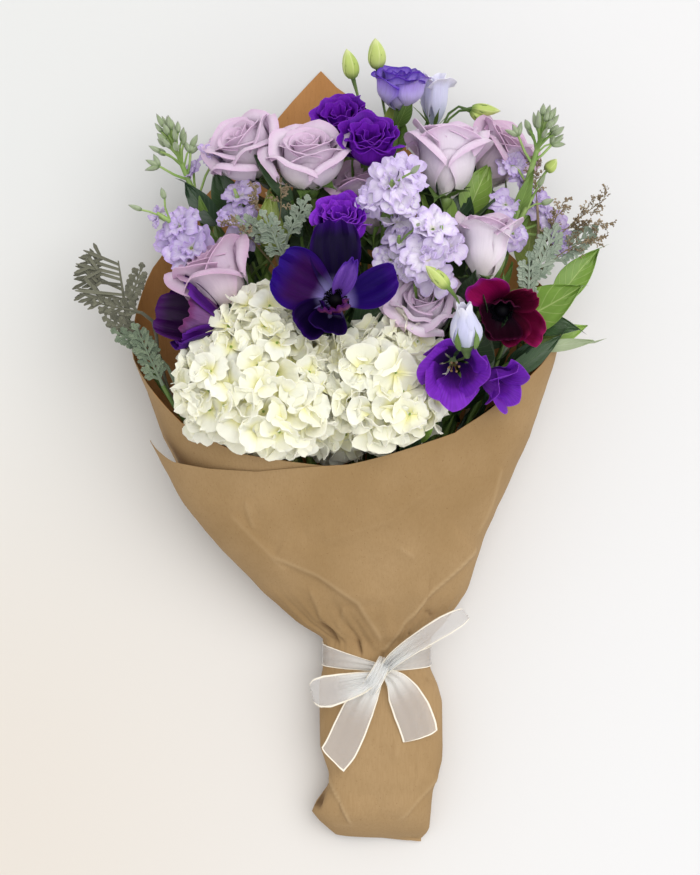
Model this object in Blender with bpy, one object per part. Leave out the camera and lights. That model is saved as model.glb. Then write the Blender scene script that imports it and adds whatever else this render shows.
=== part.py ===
"""A hand-tied bouquet of mixed flowers in a kraft paper wrap, lying on its back.

Cut stems fan out from one binding: roses, lisianthus, anemones, hydrangeas, stock,
dusty miller, sea lavender and leafy twigs. A square sheet of kraft paper is rolled
round them on its diagonal, and an organza ribbon is tied over the waist.

Metres, +Z up. The stems run along +Y, from the closed tail to the flowers, and the
flat underside of the paper lies on Z = 0.
"""

import math

import bmesh
import bpy
from mathutils import Matrix, Vector
from mathutils.geometry import convex_hull_2d

MM = 0.001
SIDES = 8  # of a stem and its flower head
DOME_SIDES = 12
LEAF_SIDES = 6
SHARP_EDGE = math.radians(50)

# The binding, where all the stems meet, and their cut ends.
TIE = Vector((22, -168, 0)) * MM
CUT_Y = -298 * MM
STEM_RADIUS = 2.4 * MM
STEM_GAP = 0.5 * MM
BUNDLE_ASPECT = 2.0  # width over height of the tied stems
FAN_TURN = 36.0  # degrees in plan from the middle stem to the outermost one
FAN_LIFT = 11.0  # and in elevation, from the middle stem to the topmost
SLOT_ROWS = range(-6, 7)
SLOT_COLUMNS = range(-12, 13)
SWAP_ROUNDS = 20
SWEEP = 0.42  # share of a stem's reach that it runs straight out of the binding
ARRIVAL = 0.22  # and straight into its flower
STRAIGHTEN = Vector((0, 0.5, 0))  # turns a stem at the binding back towards +Y
STEM_STEPS = (0.14, 0.35, 0.6, 0.82)
TWIG_RADIUS = 1.3 * MM
TWIG_SWEEP = 0.4  # the same shares for a side shoot
TWIG_ARRIVAL = 0.3
TWIG_STEPS = (0.0, 0.35, 0.7)

BAND_RADIUS = 1.2 * MM
BAND_GAP = 0.4 * MM
BAND_STEPS = 24  # round each stem

# The kraft paper: (y, middle x, half width, height, lift of its underside).
PAPER = 0.8 * MM
WAIST_LIFT = 1.7 * MM  # lets the ribbon pass beneath
TAIL_STATIONS = (
    (-312 * MM, 17 * MM, 40 * MM, 30 * MM, 0.0),
    (-300 * MM, 17 * MM, 46 * MM, 40 * MM, 0.0),
    (-245 * MM, 20 * MM, 46 * MM, 43 * MM, 0.0),
    (-192 * MM, 21 * MM, 45 * MM, 43 * MM, 0.0),
    (-180 * MM, 22 * MM, 42 * MM, 41 * MM, WAIST_LIFT),
    (-156 * MM, 22 * MM, 42 * MM, 41 * MM, WAIST_LIFT),
)
CONE_STATIONS = (
    (-142 * MM, 17 * MM, 58 * MM, 50 * MM, 0.0),
    (-120 * MM, 12 * MM, 77 * MM, 66 * MM, 0.0),
    (-87 * MM, 4 * MM, 97 * MM, 84 * MM, 0.0),
    (-50 * MM, -2 * MM, 117 * MM, 101 * MM, 0.0),
    (0.0, -3 * MM, 141 * MM, 120 * MM, 0.0),
    (60 * MM, -3 * MM, 160 * MM, 140 * MM, 0.0),
    (100 * MM, 0.0, 166 * MM, 150 * MM, 0.0),
    (290 * MM, 0.0, 166 * MM, 150 * MM, 0.0),
)
CONE_ROWS = 9
PAPER_COLUMNS = 28
PAPER_ANGLES = [360 * column / PAPER_COLUMNS for column in range(PAPER_COLUMNS)]
BELLY = 0.47  # height of the widest level, as a share of a section's height
SQUARENESS = 0.8  # 1 gives an ellipse, less gives a boxier section
SETTLED = 1.1  # over 1 flattens the underside where the paper lies on the table
# The rim of the mouth: degrees from the front round by the left, and its y.
RIM = (
    (0, -20 * MM),
    (30, -14 * MM),
    (60, 10 * MM),
    (80, 42 * MM),
    (100, 90 * MM),
    (115, 130 * MM),
    (135, 188 * MM),
    (155, 232 * MM),
    (171, 288 * MM),
    (190, 235 * MM),
    (210, 172 * MM),
    (235, 126 * MM),
    (260, 96 * MM),
    (285, 70 * MM),
    (305, 40 * MM),
    (330, 4 * MM),
    (360, -20 * MM),
)

# The organza ribbon: its band round the waist, knot, two loops and two tails.
RIBBON = 1.0 * MM
BAND_WIDTH = 16 * MM
RIBBON_GAP = 0.35 * MM
KNOT = Vector((24, -176, 47.4)) * MM
KNOT_HALVES = (9 * MM, 8 * MM, 5.2 * MM)
LOOP_TIPS = {
    "right_loop": Vector((90, -134, 58)) * MM,
    "left_loop": Vector((-30, -199, 48)) * MM,
}
# A loop: share of the way from the knot to its tip, rise and half width.
LOOP_SHAPE = (
    (0.0, 1 * MM, 4 * MM),
    (0.25, 4 * MM, 9 * MM),
    (0.65, 5.5 * MM, 13 * MM),
    (0.95, 3.5 * MM, 13 * MM),
    (1.0, 0.0, 13 * MM),
    (0.95, -2.5 * MM, 13 * MM),
    (0.65, -3 * MM, 12 * MM),
    (0.25, -2 * MM, 8 * MM),
    (0.0, -1 * MM, 4 * MM),
)
TAIL_ROUTES = {
    "left_tail": [Vector(p) * MM for p in ((16, -197, 46.5), (-3, -223, 45.5), (-13, -247, 45.5))],
    "right_tail": [Vector(p) * MM for p in ((37, -190, 46.5), (47, -209, 45.5), (54, -229, 45.5))],
}
TAIL_HALVES = (5 * MM, 9 * MM, 13 * MM, 14 * MM)

# Profiles of revolution: share of the depth from the neck, share of the radius.
ROSE_PROFILE = ((0.0, 0.12), (0.12, 0.50), (0.36, 0.90), (0.66, 1.0), (1.0, 0.80))
CUP_PROFILE = ((0.0, 0.13), (0.16, 0.38), (0.46, 0.72), (0.78, 0.95), (1.0, 1.0))
BOWL_PROFILE = ((0.0, 0.07), (0.2, 0.42), (0.5, 0.84), (0.8, 1.0), (1.0, 0.94))
DOME_PROFILE = ((0.0, 0.06), (0.14, 0.55), (0.34, 0.92), (0.56, 1.0), (0.82, 0.82), (1.0, 0.42))
SPIKE_PROFILE = ((0.0, 0.2), (0.16, 0.86), (0.5, 1.0), (0.85, 0.62), (1.0, 0.25))
BUD_PROFILE = ((0.0, 0.3), (0.3, 0.9), (0.6, 1.0), (1.0, 0.2))
LEAF_PROFILE = ((0.0, 0.1), (0.22, 0.72), (0.5, 1.0), (0.78, 0.72), (1.0, 0.1))
LEAF_THICKNESS = 0.06  # of a leaf, as a share of its width

# A head is its middle x, y, z, its turn from +Y towards +X and its lift above the
# table in degrees, its radius and its depth: millimetres, all but the two angles.
ROSES = (
    (-29, 205, 112, -5, 50, 27, 50),
    (-74, 217, 84, -35, 42, 25, 46),
    (70, 208, 98, 4, 24, 27, 54),
    (112, 205, 60, 38, 28, 22, 44),
    (-97, 124, 112, -30, 38, 25, 50),
    (97, 142, 118, 6, 20, 21, 48),
    (8, 190, 70, 0, 36, 22, 42),
    (62, 99, 88, 4, 52, 20, 36),
)
LISIANTHUS = (
    (39, 263, 76, 2, 22, 19, 36),
    (66, 256, 52, 6, 14, 12, 42),
    (17, 222, 116, 8, 34, 18, 34),
    (-8, 247, 70, -8, 44, 17, 32),
    (-6, 160, 122, -6, 46, 21, 38),
    (76, 44, 147, 12, 68, 25, 40),
    (112, 40, 126, 56, 50, 20, 36),
)
ANEMONES = (
    (-8, 106, 152, 190, 78, 42, 26),
    (118, 92, 126, 170, 76, 28, 20),
    (-126, 90, 103, -62, 30, 26, 24),
)
HYDRANGEAS = (
    (-67, 42, 124, -25, 73, 57, 66),
    (28, 38, 124, 15, 72, 41, 56),
)
STOCKS = (
    (-122, 216, 70, -28, 14, 12, 64),
    (-128, 158, 92, -58, 28, 14, 40),
    (-80, 172, 92, -20, 40, 12, 36),
    (30, 176, 134, 10, 55, 17, 34),
    (66, 138, 140, 4, 30, 16, 36),
    (36, 134, 124, 4, 50, 13, 40),
    (138, 216, 104, 30, 16, 11, 62),
    (130, 166, 92, 28, 20, 11, 38),
)
DUSTY_MILLERS = (
    (-186, 116, 74, -55, 8, 17, 66),
    (-147, 58, 96, -24, 16, 11, 46),
    (-54, 146, 112, -24, 34, 10, 38),
    (158, 146, 97, 34, 14, 12, 44),
)
SEA_LAVENDERS = (
    (192, 170, 96, 50, 12, 5, 36),
    (149, 194, 109, 8, 18, 5, 34),
    (-66, 168, 112, -22, 44, 5, 30),
)
LEAVES = (
    (174, 126, 68, 52, 6, 12, 54),
    (158, 74, 112, 78, 14, 7, 48),
    (-88, 182, 66, -30, 14, 12, 46),
    (94, 172, 66, 2, 14, 14, 48),
    (62, 10, 104, 10, 40, 9, 32),
)

# Side shoots by stem: share of the stem where one leaves, its head, profile, flatness.
SHOOTS = {
    "lisianthus_1": (
        (0.80, (22, 288, 84, -8, 40, 6, 22), BUD_PROFILE, 1.0),
        (0.70, (3, 281, 80, -18, 34, 6, 22), BUD_PROFILE, 1.0),
    ),
    "lisianthus_2": ((0.75, (103, 250, 60, 60, 10, 5, 18), BUD_PROFILE, 1.0),),
    "lisianthus_6": (
        (0.80, (84, 84, 152, 4, 40, 9, 32), BUD_PROFILE, 1.0),
        (0.70, (62, 112, 164, -20, 30, 5.5, 24), BUD_PROFILE, 1.0),
    ),
    "stock_8": ((0.75, (160, 182, 72, 45, 18, 8, 36), SPIKE_PROFILE, 1.0),),
    "dusty_miller_1": (
        (0.82, (-186, 150, 66, -34, 10, 13, 40), LEAF_PROFILE, LEAF_THICKNESS),
        (0.70, (-176, 92, 86, -76, 18, 12, 42), LEAF_PROFILE, LEAF_THICKNESS),
    ),
    "dusty_miller_3": ((0.75, (-36, 150, 110, 24, 34, 9, 30), LEAF_PROFILE, LEAF_THICKNESS),),
    "dusty_miller_4": ((0.75, (178, 168, 82, 40, 16, 10, 36), LEAF_PROFILE, LEAF_THICKNESS),),
    "sea_lavender_1": (
        (0.82, (174, 188, 92, 28, 20, 4, 34), SPIKE_PROFILE, 1.0),
        (0.70, (182, 146, 92, 64, 14, 4, 34), SPIKE_PROFILE, 1.0),
    ),
    "leaf_twig_1": ((0.80, (152, 104, 76, 68, 12, 15, 52), LEAF_PROFILE, LEAF_THICKNESS),),
    "leaf_twig_3": ((0.75, (-60, 160, 84, 0, 26, 10, 38), LEAF_PROFILE, LEAF_THICKNESS),),
    "leaf_twig_4": ((0.70, (134, 184, 66, 44, 10, 11, 40), LEAF_PROFILE, LEAF_THICKNESS),),
}

KRAFT = (0.55, 0.38, 0.21)
LEAF_GREEN = (0.16, 0.30, 0.07)
SILVER_GREEN = (0.36, 0.42, 0.36)
MAUVE = (0.72, 0.55, 0.72)
VIOLET = (0.20, 0.05, 0.48)
INDIGO = (0.05, 0.01, 0.22)
LILAC = (0.72, 0.60, 0.85)
CREAM = (0.88, 0.87, 0.66)
SHEER_WHITE = (0.85, 0.85, 0.83)
RUBBER_TAN = (0.62, 0.50, 0.30)
TWIG_BROWN = (0.36, 0.24, 0.18)


def clear_scene():
    for leftover in list(bpy.data.objects):
        bpy.data.objects.remove(leftover)


def material(name, colour, roughness=0.6):
    made = bpy.data.materials.new(name)
    made.use_nodes = True
    shader = made.node_tree.nodes["Principled BSDF"]
    shader.inputs["Base Color"].default_value = (*colour, 1.0)
    shader.inputs["Roughness"].default_value = roughness
    shader.inputs["Metallic"].default_value = 0.0
    return made


def node(name, bm, finish):
    """A closed bmesh as a named object, shaded smooth but for its sharp edges."""
    bmesh.ops.recalc_face_normals(bm, faces=bm.faces)
    mesh = bpy.data.meshes.new(name)
    bm.to_mesh(mesh)
    bm.free()
    mesh.materials.append(finish)
    mesh.shade_smooth()
    mesh.set_sharp_from_angle(angle=SHARP_EDGE)
    made = bpy.data.objects.new(name, mesh)
    bpy.context.scene.collection.objects.link(made)
    return made


def unite(base, branches):
    """Joins each branch to the base by a Boolean union, and hides it."""
    for branch in branches:
        branch.hide_render = True
        branch.display_type = "WIRE"
        join = base.modifiers.new("join_" + branch.name, "BOOLEAN")
        join.operation = "UNION"
        join.solver = "EXACT"
        join.object = branch


def loft(name, rings, sides, finish, across=Vector((1, 0, 0))):
    """A solid skinned over rings of (centre, tangent, half width, half thickness)."""
    bm = bmesh.new()
    before = None
    for index, (centre, tangent, wide, thick) in enumerate(rings):
        across = (across - across.dot(tangent) * tangent).normalized()
        up = tangent.cross(across)
        place = Matrix((
            (across.x * wide, up.x * thick, tangent.x, centre.x),
            (across.y * wide, up.y * thick, tangent.y, centre.y),
            (across.z * wide, up.z * thick, tangent.z, centre.z),
            (0, 0, 0, 1),
        ))
        at_end = index in (0, len(rings) - 1)
        made = bmesh.ops.create_circle(bm, cap_ends=at_end, segments=sides, radius=1, matrix=place)
        ring = list({edge for corner in made["verts"] for edge in corner.link_edges})
        if before:
            bmesh.ops.bridge_loops(bm, edges=before + ring)
        before = ring
    return node(name, bm, finish)


def heading(turn, lift):
    """The unit vector turned from +Y towards +X, and lifted above the table."""
    t = math.radians(turn)
    e = math.radians(lift)
    return Vector((math.sin(t) * math.cos(e), math.cos(t) * math.cos(e), math.sin(e)))


def bezier(p0, p1, p2, p3, t):
    """Point and unit tangent of a cubic Bezier curve at t."""
    s = 1 - t
    point = s**3 * p0 + 3 * s * s * t * p1 + 3 * s * t * t * p2 + t**3 * p3
    tangent = s * s * (p1 - p0) + 2 * s * t * (p2 - p1) + t * t * (p3 - p2)
    return point, tangent.normalized()


def seat(head):
    """Neck, facing, radius and depth of a head."""
    x, y, z, turn, lift, radius, depth = head
    facing = heading(turn, lift)
    return Vector((x, y, z)) * MM - facing * depth * MM / 2, facing, radius * MM, depth * MM


def bundle_slots(count):
    """Offsets (x, z) of the tied stems, in close-packed layers, from the middle out."""
    pitch = 2 * STEM_RADIUS + STEM_GAP
    found = []
    for row in SLOT_ROWS:
        for column in SLOT_COLUMNS:
            found.append(((column + row % 2 / 2) * pitch, row * pitch * math.sqrt(3) / 2))
    found.sort(key=lambda slot: (round(math.hypot(slot[0], BUNDLE_ASPECT * slot[1]), 6), slot))
    return found[:count]


def share_slots(slots, heads, middle):
    """One slot for each head, so that the stems fan out from the tie uncrossed."""
    half_wide = max(x for x, _ in slots)
    half_high = max(z for _, z in slots)
    wanted = []
    for head in heads:
        out = seat(head)[0] - middle
        turn = math.degrees(math.atan2(out.x, out.y))
        lift = math.degrees(math.atan2(out.z, math.hypot(out.x, out.y)))
        wanted.append((turn / FAN_TURN * half_wide, lift / FAN_LIFT * half_high))

    def miss(slot, want):
        return (slot[0] - want[0]) ** 2 + (slot[1] - want[1]) ** 2

    shared = list(slots)
    for _ in range(SWAP_ROUNDS):
        for i in range(len(shared)):
            for j in range(i + 1, len(shared)):
                kept = miss(shared[i], wanted[i]) + miss(shared[j], wanted[j])
                swapped = miss(shared[j], wanted[i]) + miss(shared[i], wanted[j])
                if swapped < kept:
                    shared[i], shared[j] = shared[j], shared[i]
    return shared


def stem_curve(tied, head):
    """Control points of the curve from the tie into the neck of a head."""
    neck, facing, _, _ = seat(head)
    reach = (neck - tied).length
    out = (neck - tied).normalized() + STRAIGHTEN
    return tied, tied + out.normalized() * reach * SWEEP, neck - facing * reach * ARRIVAL, neck


def head_rings(head, profile, flatness):
    neck, facing, radius, depth = seat(head)
    return [
        (neck + facing * depth * along, facing, radius * out, radius * out * flatness)
        for along, out in profile
    ]


def flower(name, tied, head, profile, finish, sides=SIDES, flatness=1.0):
    """A cut stem through the tie, which opens into its flower or leaf."""
    along = Vector((0, 1, 0))
    cut = Vector((tied.x, CUT_Y, tied.z))
    rings = [(cut, along, STEM_RADIUS, STEM_RADIUS), (tied, along, STEM_RADIUS, STEM_RADIUS)]
    neck_radius = head[5] * MM * profile[0][1]
    for t in STEM_STEPS:
        point, tangent = bezier(*stem_curve(tied, head), t)
        radius = STEM_RADIUS + (neck_radius - STEM_RADIUS) * t
        rings.append((point, tangent, radius, radius))
    return loft(name, rings + head_rings(head, profile, flatness), sides, finish)


def branch(name, curve, shoot, finish):
    """A side shoot that leaves a stem's curve, with its own bud, spike or leaf."""
    start, head, profile, flatness = shoot
    root, along = bezier(*curve, start)
    neck, facing, _, _ = seat(head)
    reach = (neck - root).length
    twig = root, root + along * reach * TWIG_SWEEP, neck - facing * reach * TWIG_ARRIVAL, neck
    rings = []
    for t in TWIG_STEPS:
        point, tangent = bezier(*twig, t)
        rings.append((point, tangent, TWIG_RADIUS, TWIG_RADIUS))
    return loft(name, rings + head_rings(head, profile, flatness), LEAF_SIDES, finish)


def between(stations, y):
    """A paper station at any y, from the two nearest."""
    for low, high in zip(stations, stations[1:]):
        if y <= high[0]:
            break
    share = (y - low[0]) / (high[0] - low[0])
    return [a + (b - a) * share for a, b in zip(low, high)]


def rim_y(degrees):
    for low, high in zip(RIM, RIM[1:]):
        if degrees <= high[0]:
            break
    share = (degrees - low[0]) / (high[0] - low[0])
    return low[1] + (high[1] - low[1]) * share


def section_point(station, degrees, grown=0.0):
    """A point of the wrap's outline at a station, grown outwards by a margin."""
    y, middle, half, height, lift = station
    front = math.cos(math.radians(degrees))
    left = math.sin(math.radians(degrees))
    rise = abs(front) ** SQUARENESS
    if front > 0:
        share = BELLY + (1 - BELLY) * rise
    else:
        share = BELLY * max(0.0, 1 - SETTLED * rise)
    x = middle - (half + grown) * math.copysign(abs(left) ** SQUARENESS, left)
    return Vector((x, y, lift - grown + (height - lift + 2 * grown) * share))


def skin(bm, rows, closed_start):
    """Skins rows of points that each go once round the wrap."""
    before = None
    for row in rows:
        capped = closed_start and before is None
        made = bmesh.ops.create_circle(bm, cap_ends=capped, segments=len(row), radius=1)
        ring = list({edge for corner in made["verts"] for edge in corner.link_edges})
        for corner, point in zip(made["verts"], row):
            corner.co = point
        if before:
            bmesh.ops.bridge_loops(bm, edges=before + ring)
        before = ring
    bmesh.ops.recalc_face_normals(bm, faces=bm.faces)
    bmesh.ops.triangulate(bm, faces=bm.faces)


def thicken(made, thickness, offset):
    wall = made.modifiers.new("wall", "SOLIDIFY")
    wall.thickness = thickness
    wall.offset = offset
    wall.use_even_offset = True


def kraft_paper():
    """The rolled sheet: a level tail with a closed end, and a cone with a slant rim."""
    rows = [[section_point(station, angle) for angle in PAPER_ANGLES] for station in TAIL_STATIONS]
    start = CONE_STATIONS[0][0]
    for step in range(CONE_ROWS + 1):
        share = step / CONE_ROWS
        row = []
        for angle in PAPER_ANGLES:
            y = start + (rim_y(angle) - start) * share
            row.append(section_point(between(CONE_STATIONS, y), angle))
        rows.append(row)
    bm = bmesh.new()
    skin(bm, rows, closed_start=True)
    made = node("kraft_paper", bm, material("kraft_paper", KRAFT, 0.8))
    thicken(made, PAPER, -1)


def strip(name, points, widths, finish):
    """A flat length of ribbon through points, each with its half width."""
    rings = []
    for index, (point, wide) in enumerate(zip(points, widths)):
        ahead = points[min(index + 1, len(points) - 1)]
        behind = points[max(index - 1, 0)]
        rings.append((point, (ahead - behind).normalized(), wide, RIBBON / 2))
    return loft(name, rings, SIDES, finish, across=rings[0][1].cross(Vector((0, 0, 1))))


def organza_ribbon():
    """One ribbon: a band round the waist, a knot, two loops and two tails."""
    finish = material("organza", SHEER_WHITE, 0.4)
    waist = TAIL_STATIONS[-1]
    rows = []
    for y in (TIE.y - BAND_WIDTH / 2, TIE.y + BAND_WIDTH / 2):
        station = (y, *waist[1:])
        rows.append([section_point(station, angle, RIBBON_GAP) for angle in PAPER_ANGLES])
    bm = bmesh.new()
    skin(bm, rows, closed_start=False)
    band = node("organza_ribbon", bm, finish)
    thicken(band, RIBBON, 1)

    bm = bmesh.new()
    place = Matrix.Translation(KNOT) @ Matrix.Diagonal((*KNOT_HALVES, 1))
    bmesh.ops.create_icosphere(bm, subdivisions=2, radius=1, matrix=place)
    parts = [node("knot", bm, finish)]

    for name, tip in LOOP_TIPS.items():
        points = [KNOT.lerp(tip, along) + Vector((0, 0, rise)) for along, rise, _ in LOOP_SHAPE]
        parts.append(strip(name, points, [wide for _, _, wide in LOOP_SHAPE], finish))
    for name, route in TAIL_ROUTES.items():
        parts.append(strip(name, [KNOT] + list(route), TAIL_HALVES, finish))
    unite(band, parts)


def stem_binding(slots, middle):
    """The rubber band drawn tight round the outermost stems."""
    around = []
    reach = STEM_RADIUS + STEM_GAP + BAND_RADIUS
    for x, z in slots:
        for step in range(BAND_STEPS):
            turn = math.tau * step / BAND_STEPS
            around.append((x + reach * math.cos(turn), z + reach * math.sin(turn)))
    outer = [around[index] for index in convex_hull_2d(around)]
    curve = bpy.data.curves.new("stem_binding", "CURVE")
    curve.dimensions = "3D"
    curve.bevel_depth = BAND_RADIUS
    curve.bevel_resolution = 1
    spline = curve.splines.new("POLY")
    spline.points.add(len(outer) - 1)
    for point, (x, z) in zip(spline.points, outer):
        point.co = (middle.x + x, middle.y, middle.z + z, 1)
    spline.use_cyclic_u = True
    curve.materials.append(material("rubber", RUBBER_TAN, 0.7))
    made = bpy.data.objects.new("stem_binding", curve)
    bpy.context.scene.collection.objects.link(made)


def plants():
    """Every stem: name, head, profile, material, sides, flatness, and its shoots."""
    leafy = material("leaf_green", LEAF_GREEN, 0.45)
    silver = material("silver_leaf", SILVER_GREEN, 0.9)
    mauve = material("mauve_petal", MAUVE)
    violet = material("violet_petal", VIOLET)
    indigo = material("indigo_petal", INDIGO)
    lilac = material("lilac_petal", LILAC)
    cream = material("cream_petal", CREAM)
    twiggy = material("sea_lavender", TWIG_BROWN, 0.8)
    kinds = (
        ("rose", ROSES, ROSE_PROFILE, mauve, SIDES, 1.0),
        ("lisianthus", LISIANTHUS, CUP_PROFILE, violet, SIDES, 1.0),
        ("anemone", ANEMONES, BOWL_PROFILE, indigo, SIDES, 1.0),
        ("hydrangea", HYDRANGEAS, DOME_PROFILE, cream, DOME_SIDES, 1.0),
        ("stock", STOCKS, SPIKE_PROFILE, lilac, SIDES, 1.0),
        ("dusty_miller", DUSTY_MILLERS, LEAF_PROFILE, silver, LEAF_SIDES, LEAF_THICKNESS),
        ("sea_lavender", SEA_LAVENDERS, SPIKE_PROFILE, twiggy, LEAF_SIDES, 1.0),
        ("leaf_twig", LEAVES, LEAF_PROFILE, leafy, LEAF_SIDES, LEAF_THICKNESS),
    )
    found = []
    for kind, heads, profile, finish, sides, flatness in kinds:
        for index, head in enumerate(heads, 1):
            found.append((f"{kind}_{index}", head, profile, finish, sides, flatness))
    return found


def centre_on_table():
    """Moves everything, so that the origin is under the middle of the bouquet's box."""
    bpy.context.view_layer.update()
    depsgraph = bpy.context.evaluated_depsgraph_get()
    points = []
    for made in bpy.data.objects:
        if not made.hide_render:
            solid = made.evaluated_get(depsgraph)
            points += [vertex.co.copy() for vertex in solid.to_mesh().vertices]
            solid.to_mesh_clear()
    middle_x = (min(p.x for p in points) + max(p.x for p in points)) / 2
    middle_y = (min(p.y for p in points) + max(p.y for p in points)) / 2
    for made in bpy.data.objects:
        made.location = (-middle_x, -middle_y, 0)


def build():
    clear_scene()
    stems = plants()
    slots = bundle_slots(len(stems))
    rise = max(z for _, z in slots) + STEM_RADIUS + STEM_GAP + 2 * BAND_RADIUS
    middle = TIE + Vector((0, 0, WAIST_LIFT + PAPER + BAND_GAP + rise))
    shared = share_slots(slots, [stem[1] for stem in stems], middle)
    for (x, z), (name, head, profile, finish, sides, flatness) in zip(shared, stems):
        tied = middle + Vector((x, 0, z))
        made = flower(name, tied, head, profile, finish, sides, flatness)
        shoots = []
        for number, shoot in enumerate(SHOOTS.get(name, ()), 1):
            shoots.append(branch(f"{name}_shoot_{number}", stem_curve(tied, head), shoot, finish))
        unite(made, shoots)
    stem_binding(slots, middle)
    kraft_paper()
    organza_ribbon()
    centre_on_table()


build()
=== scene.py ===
import math
from random import Random

import bmesh
import bpy
from mathutils import Matrix, Vector, noise


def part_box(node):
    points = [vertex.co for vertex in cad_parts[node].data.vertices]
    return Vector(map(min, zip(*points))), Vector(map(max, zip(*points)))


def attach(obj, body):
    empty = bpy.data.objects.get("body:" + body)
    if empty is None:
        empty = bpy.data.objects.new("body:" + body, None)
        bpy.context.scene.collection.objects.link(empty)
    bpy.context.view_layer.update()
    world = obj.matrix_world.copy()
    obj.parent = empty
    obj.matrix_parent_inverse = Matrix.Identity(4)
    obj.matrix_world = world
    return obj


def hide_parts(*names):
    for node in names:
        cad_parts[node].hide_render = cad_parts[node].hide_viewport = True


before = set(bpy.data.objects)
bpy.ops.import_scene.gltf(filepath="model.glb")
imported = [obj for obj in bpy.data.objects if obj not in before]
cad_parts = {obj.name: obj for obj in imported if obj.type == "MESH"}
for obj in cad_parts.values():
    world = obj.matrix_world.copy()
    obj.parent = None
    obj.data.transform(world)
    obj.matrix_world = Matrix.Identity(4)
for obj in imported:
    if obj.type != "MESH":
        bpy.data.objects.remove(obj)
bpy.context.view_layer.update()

# The studio: a pale table, soft light from a wide window on the right, and a camera
# that looks straight down on the bouquet from about a metre and a half above it.
CAMERA_PLACE = (0.0037, 0.0075, 1.63)
LENS_MM = 85
SENSOR_MM = 36
TABLE_SIZE = 12.0
TABLE_DROP = -0.0006
DAYLIGHT = (1.0, 0.985, 0.96)
WINDOW_SIDE = Vector((0.38, 0.22, 1.0))
WINDOW_SOFTNESS = math.radians(60)
WINDOW_POWER = 1.75
ROOM_POWER = 0.80

camera_data = bpy.data.cameras.new("camera")
camera_data.lens = LENS_MM
camera_data.sensor_width = SENSOR_MM
camera = bpy.data.objects.new("camera", camera_data)
camera.location = CAMERA_PLACE
bpy.context.scene.collection.objects.link(camera)
bpy.context.scene.camera = camera


def srgb(red, green, blue):
    """A colour given as a paint chip's 0 to 255 values, as the shader wants it."""
    share = [channel / 255 for channel in (red, green, blue)]
    return (*[c / 12.92 if c < 0.04045 else ((c + 0.055) / 1.055) ** 2.4 for c in share], 1.0)


def add(tree, kind, **settings):
    """A new shader node; settings name its properties, or its sockets by s_Name."""
    made = tree.nodes.new("ShaderNode" + kind)
    for key, value in settings.items():
        if not key.startswith("s_"):
            setattr(made, key, value)
    for key, value in settings.items():
        if key.startswith("s_"):
            key = key[2:].replace("_", " ")
            socket = made.inputs[int(key)] if key.isdigit() else made.inputs[key]
            if isinstance(value, bpy.types.NodeSocket):
                tree.links.new(value, socket)
            else:
                socket.default_value = value
    return made


def mixed(tree, share, low, high):
    """The colour between low and high at a share, each a colour or a socket."""
    return add(tree, "Mix", data_type="RGBA", s_0=share, s_6=low, s_7=high).outputs[2]


def ramped(tree, value, low, high, to_low=0.0, to_high=1.0):
    """A value eased from low to high, and put out between two others."""
    made = add(tree, "MapRange", interpolation_type="SMOOTHSTEP", s_Value=value, s_From_Min=low,
               s_From_Max=high, s_To_Min=to_low, s_To_Max=to_high)
    return made.outputs["Result"]


def maths(tree, how, first, second=0.5):
    """A sum of one or two values, each a number or a socket."""
    return add(tree, "Math", operation=how, s_0=first, s_1=second).outputs[0]


def places_of(tree):
    """Where a point of the surface is, in metres."""
    return add(tree, "TexCoord").outputs["Object"]


def noisy(tree, vector, scale, detail, **settings):
    """A cloudy value from 0 to 1."""
    return add(tree, "TexNoise", s_Vector=vector, s_Scale=scale, s_Detail=detail, **settings).outputs["Fac"]


def finish(name, roughness, **sockets):
    """A material with a Principled shader, and its node tree."""
    made = bpy.data.materials.new(name)
    made.use_nodes = True
    shader = made.node_tree.nodes["Principled BSDF"]
    shader.inputs["Roughness"].default_value = roughness
    for key, value in sockets.items():
        shader.inputs[key.replace("_", " ")].default_value = value
    return made, made.node_tree, shader


def bumped(tree, shader, height, strength, distance):
    """Raises a surface by a height, for its shading only."""
    bump = add(tree, "Bump", s_Height=height, s_Strength=strength, s_Distance=distance)
    tree.links.new(bump.outputs["Normal"], shader.inputs["Normal"])


bm = bmesh.new()
bmesh.ops.create_grid(bm, x_segments=1, y_segments=1, size=TABLE_SIZE / 2,
                      matrix=Matrix.Translation((0, 0, TABLE_DROP)))
table_mesh = bpy.data.meshes.new("table")
bm.to_mesh(table_mesh)
bm.free()
table_finish, table_tree, table_shader = finish("table_white", 0.85)
# The table's colour is painted darker towards its left and warmer towards its front left, away from the
# window: painted shade.
table_place = add(table_tree, "SeparateXYZ", s_0=places_of(table_tree)).outputs
to_back = ramped(table_tree, table_place["Y"], -0.3, 0.25)
to_right = ramped(table_tree, table_place["X"], -0.35, 0.3)
painted_shade_left_side = mixed(table_tree, to_back, srgb(213, 206, 197), srgb(214, 215, 214))
table_tree.links.new(mixed(table_tree, to_right, painted_shade_left_side, srgb(223, 223, 224)),
                     table_shader.inputs["Base Color"])
table_mesh.materials.append(table_finish)
table = bpy.data.objects.new("table", table_mesh)
bpy.context.scene.collection.objects.link(table)

window = bpy.data.lights.new("window", "SUN")
window.energy = WINDOW_POWER
window.angle = WINDOW_SOFTNESS
window.color = DAYLIGHT
window_place = bpy.data.objects.new("window", window)
window_place.rotation_euler = WINDOW_SIDE.to_track_quat("Z", "Y").to_euler()
bpy.context.scene.collection.objects.link(window_place)
room = bpy.data.worlds.new("room")
room.use_nodes = True
walls = room.node_tree.nodes["Background"].inputs
walls["Color"].default_value = srgb(253, 253, 253)
walls["Strength"].default_value = ROOM_POWER
bpy.context.scene.world = room
bpy.context.scene.view_settings.view_transform = "Standard"

# The cut stems. Every flower stands on a green stem that runs straight up through the
# tie and then fans out in one easy curve into the neck of its head.
MM = 0.001
STEM_RADIUS = 2.4 * MM
CUT_END = -283 * MM
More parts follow.
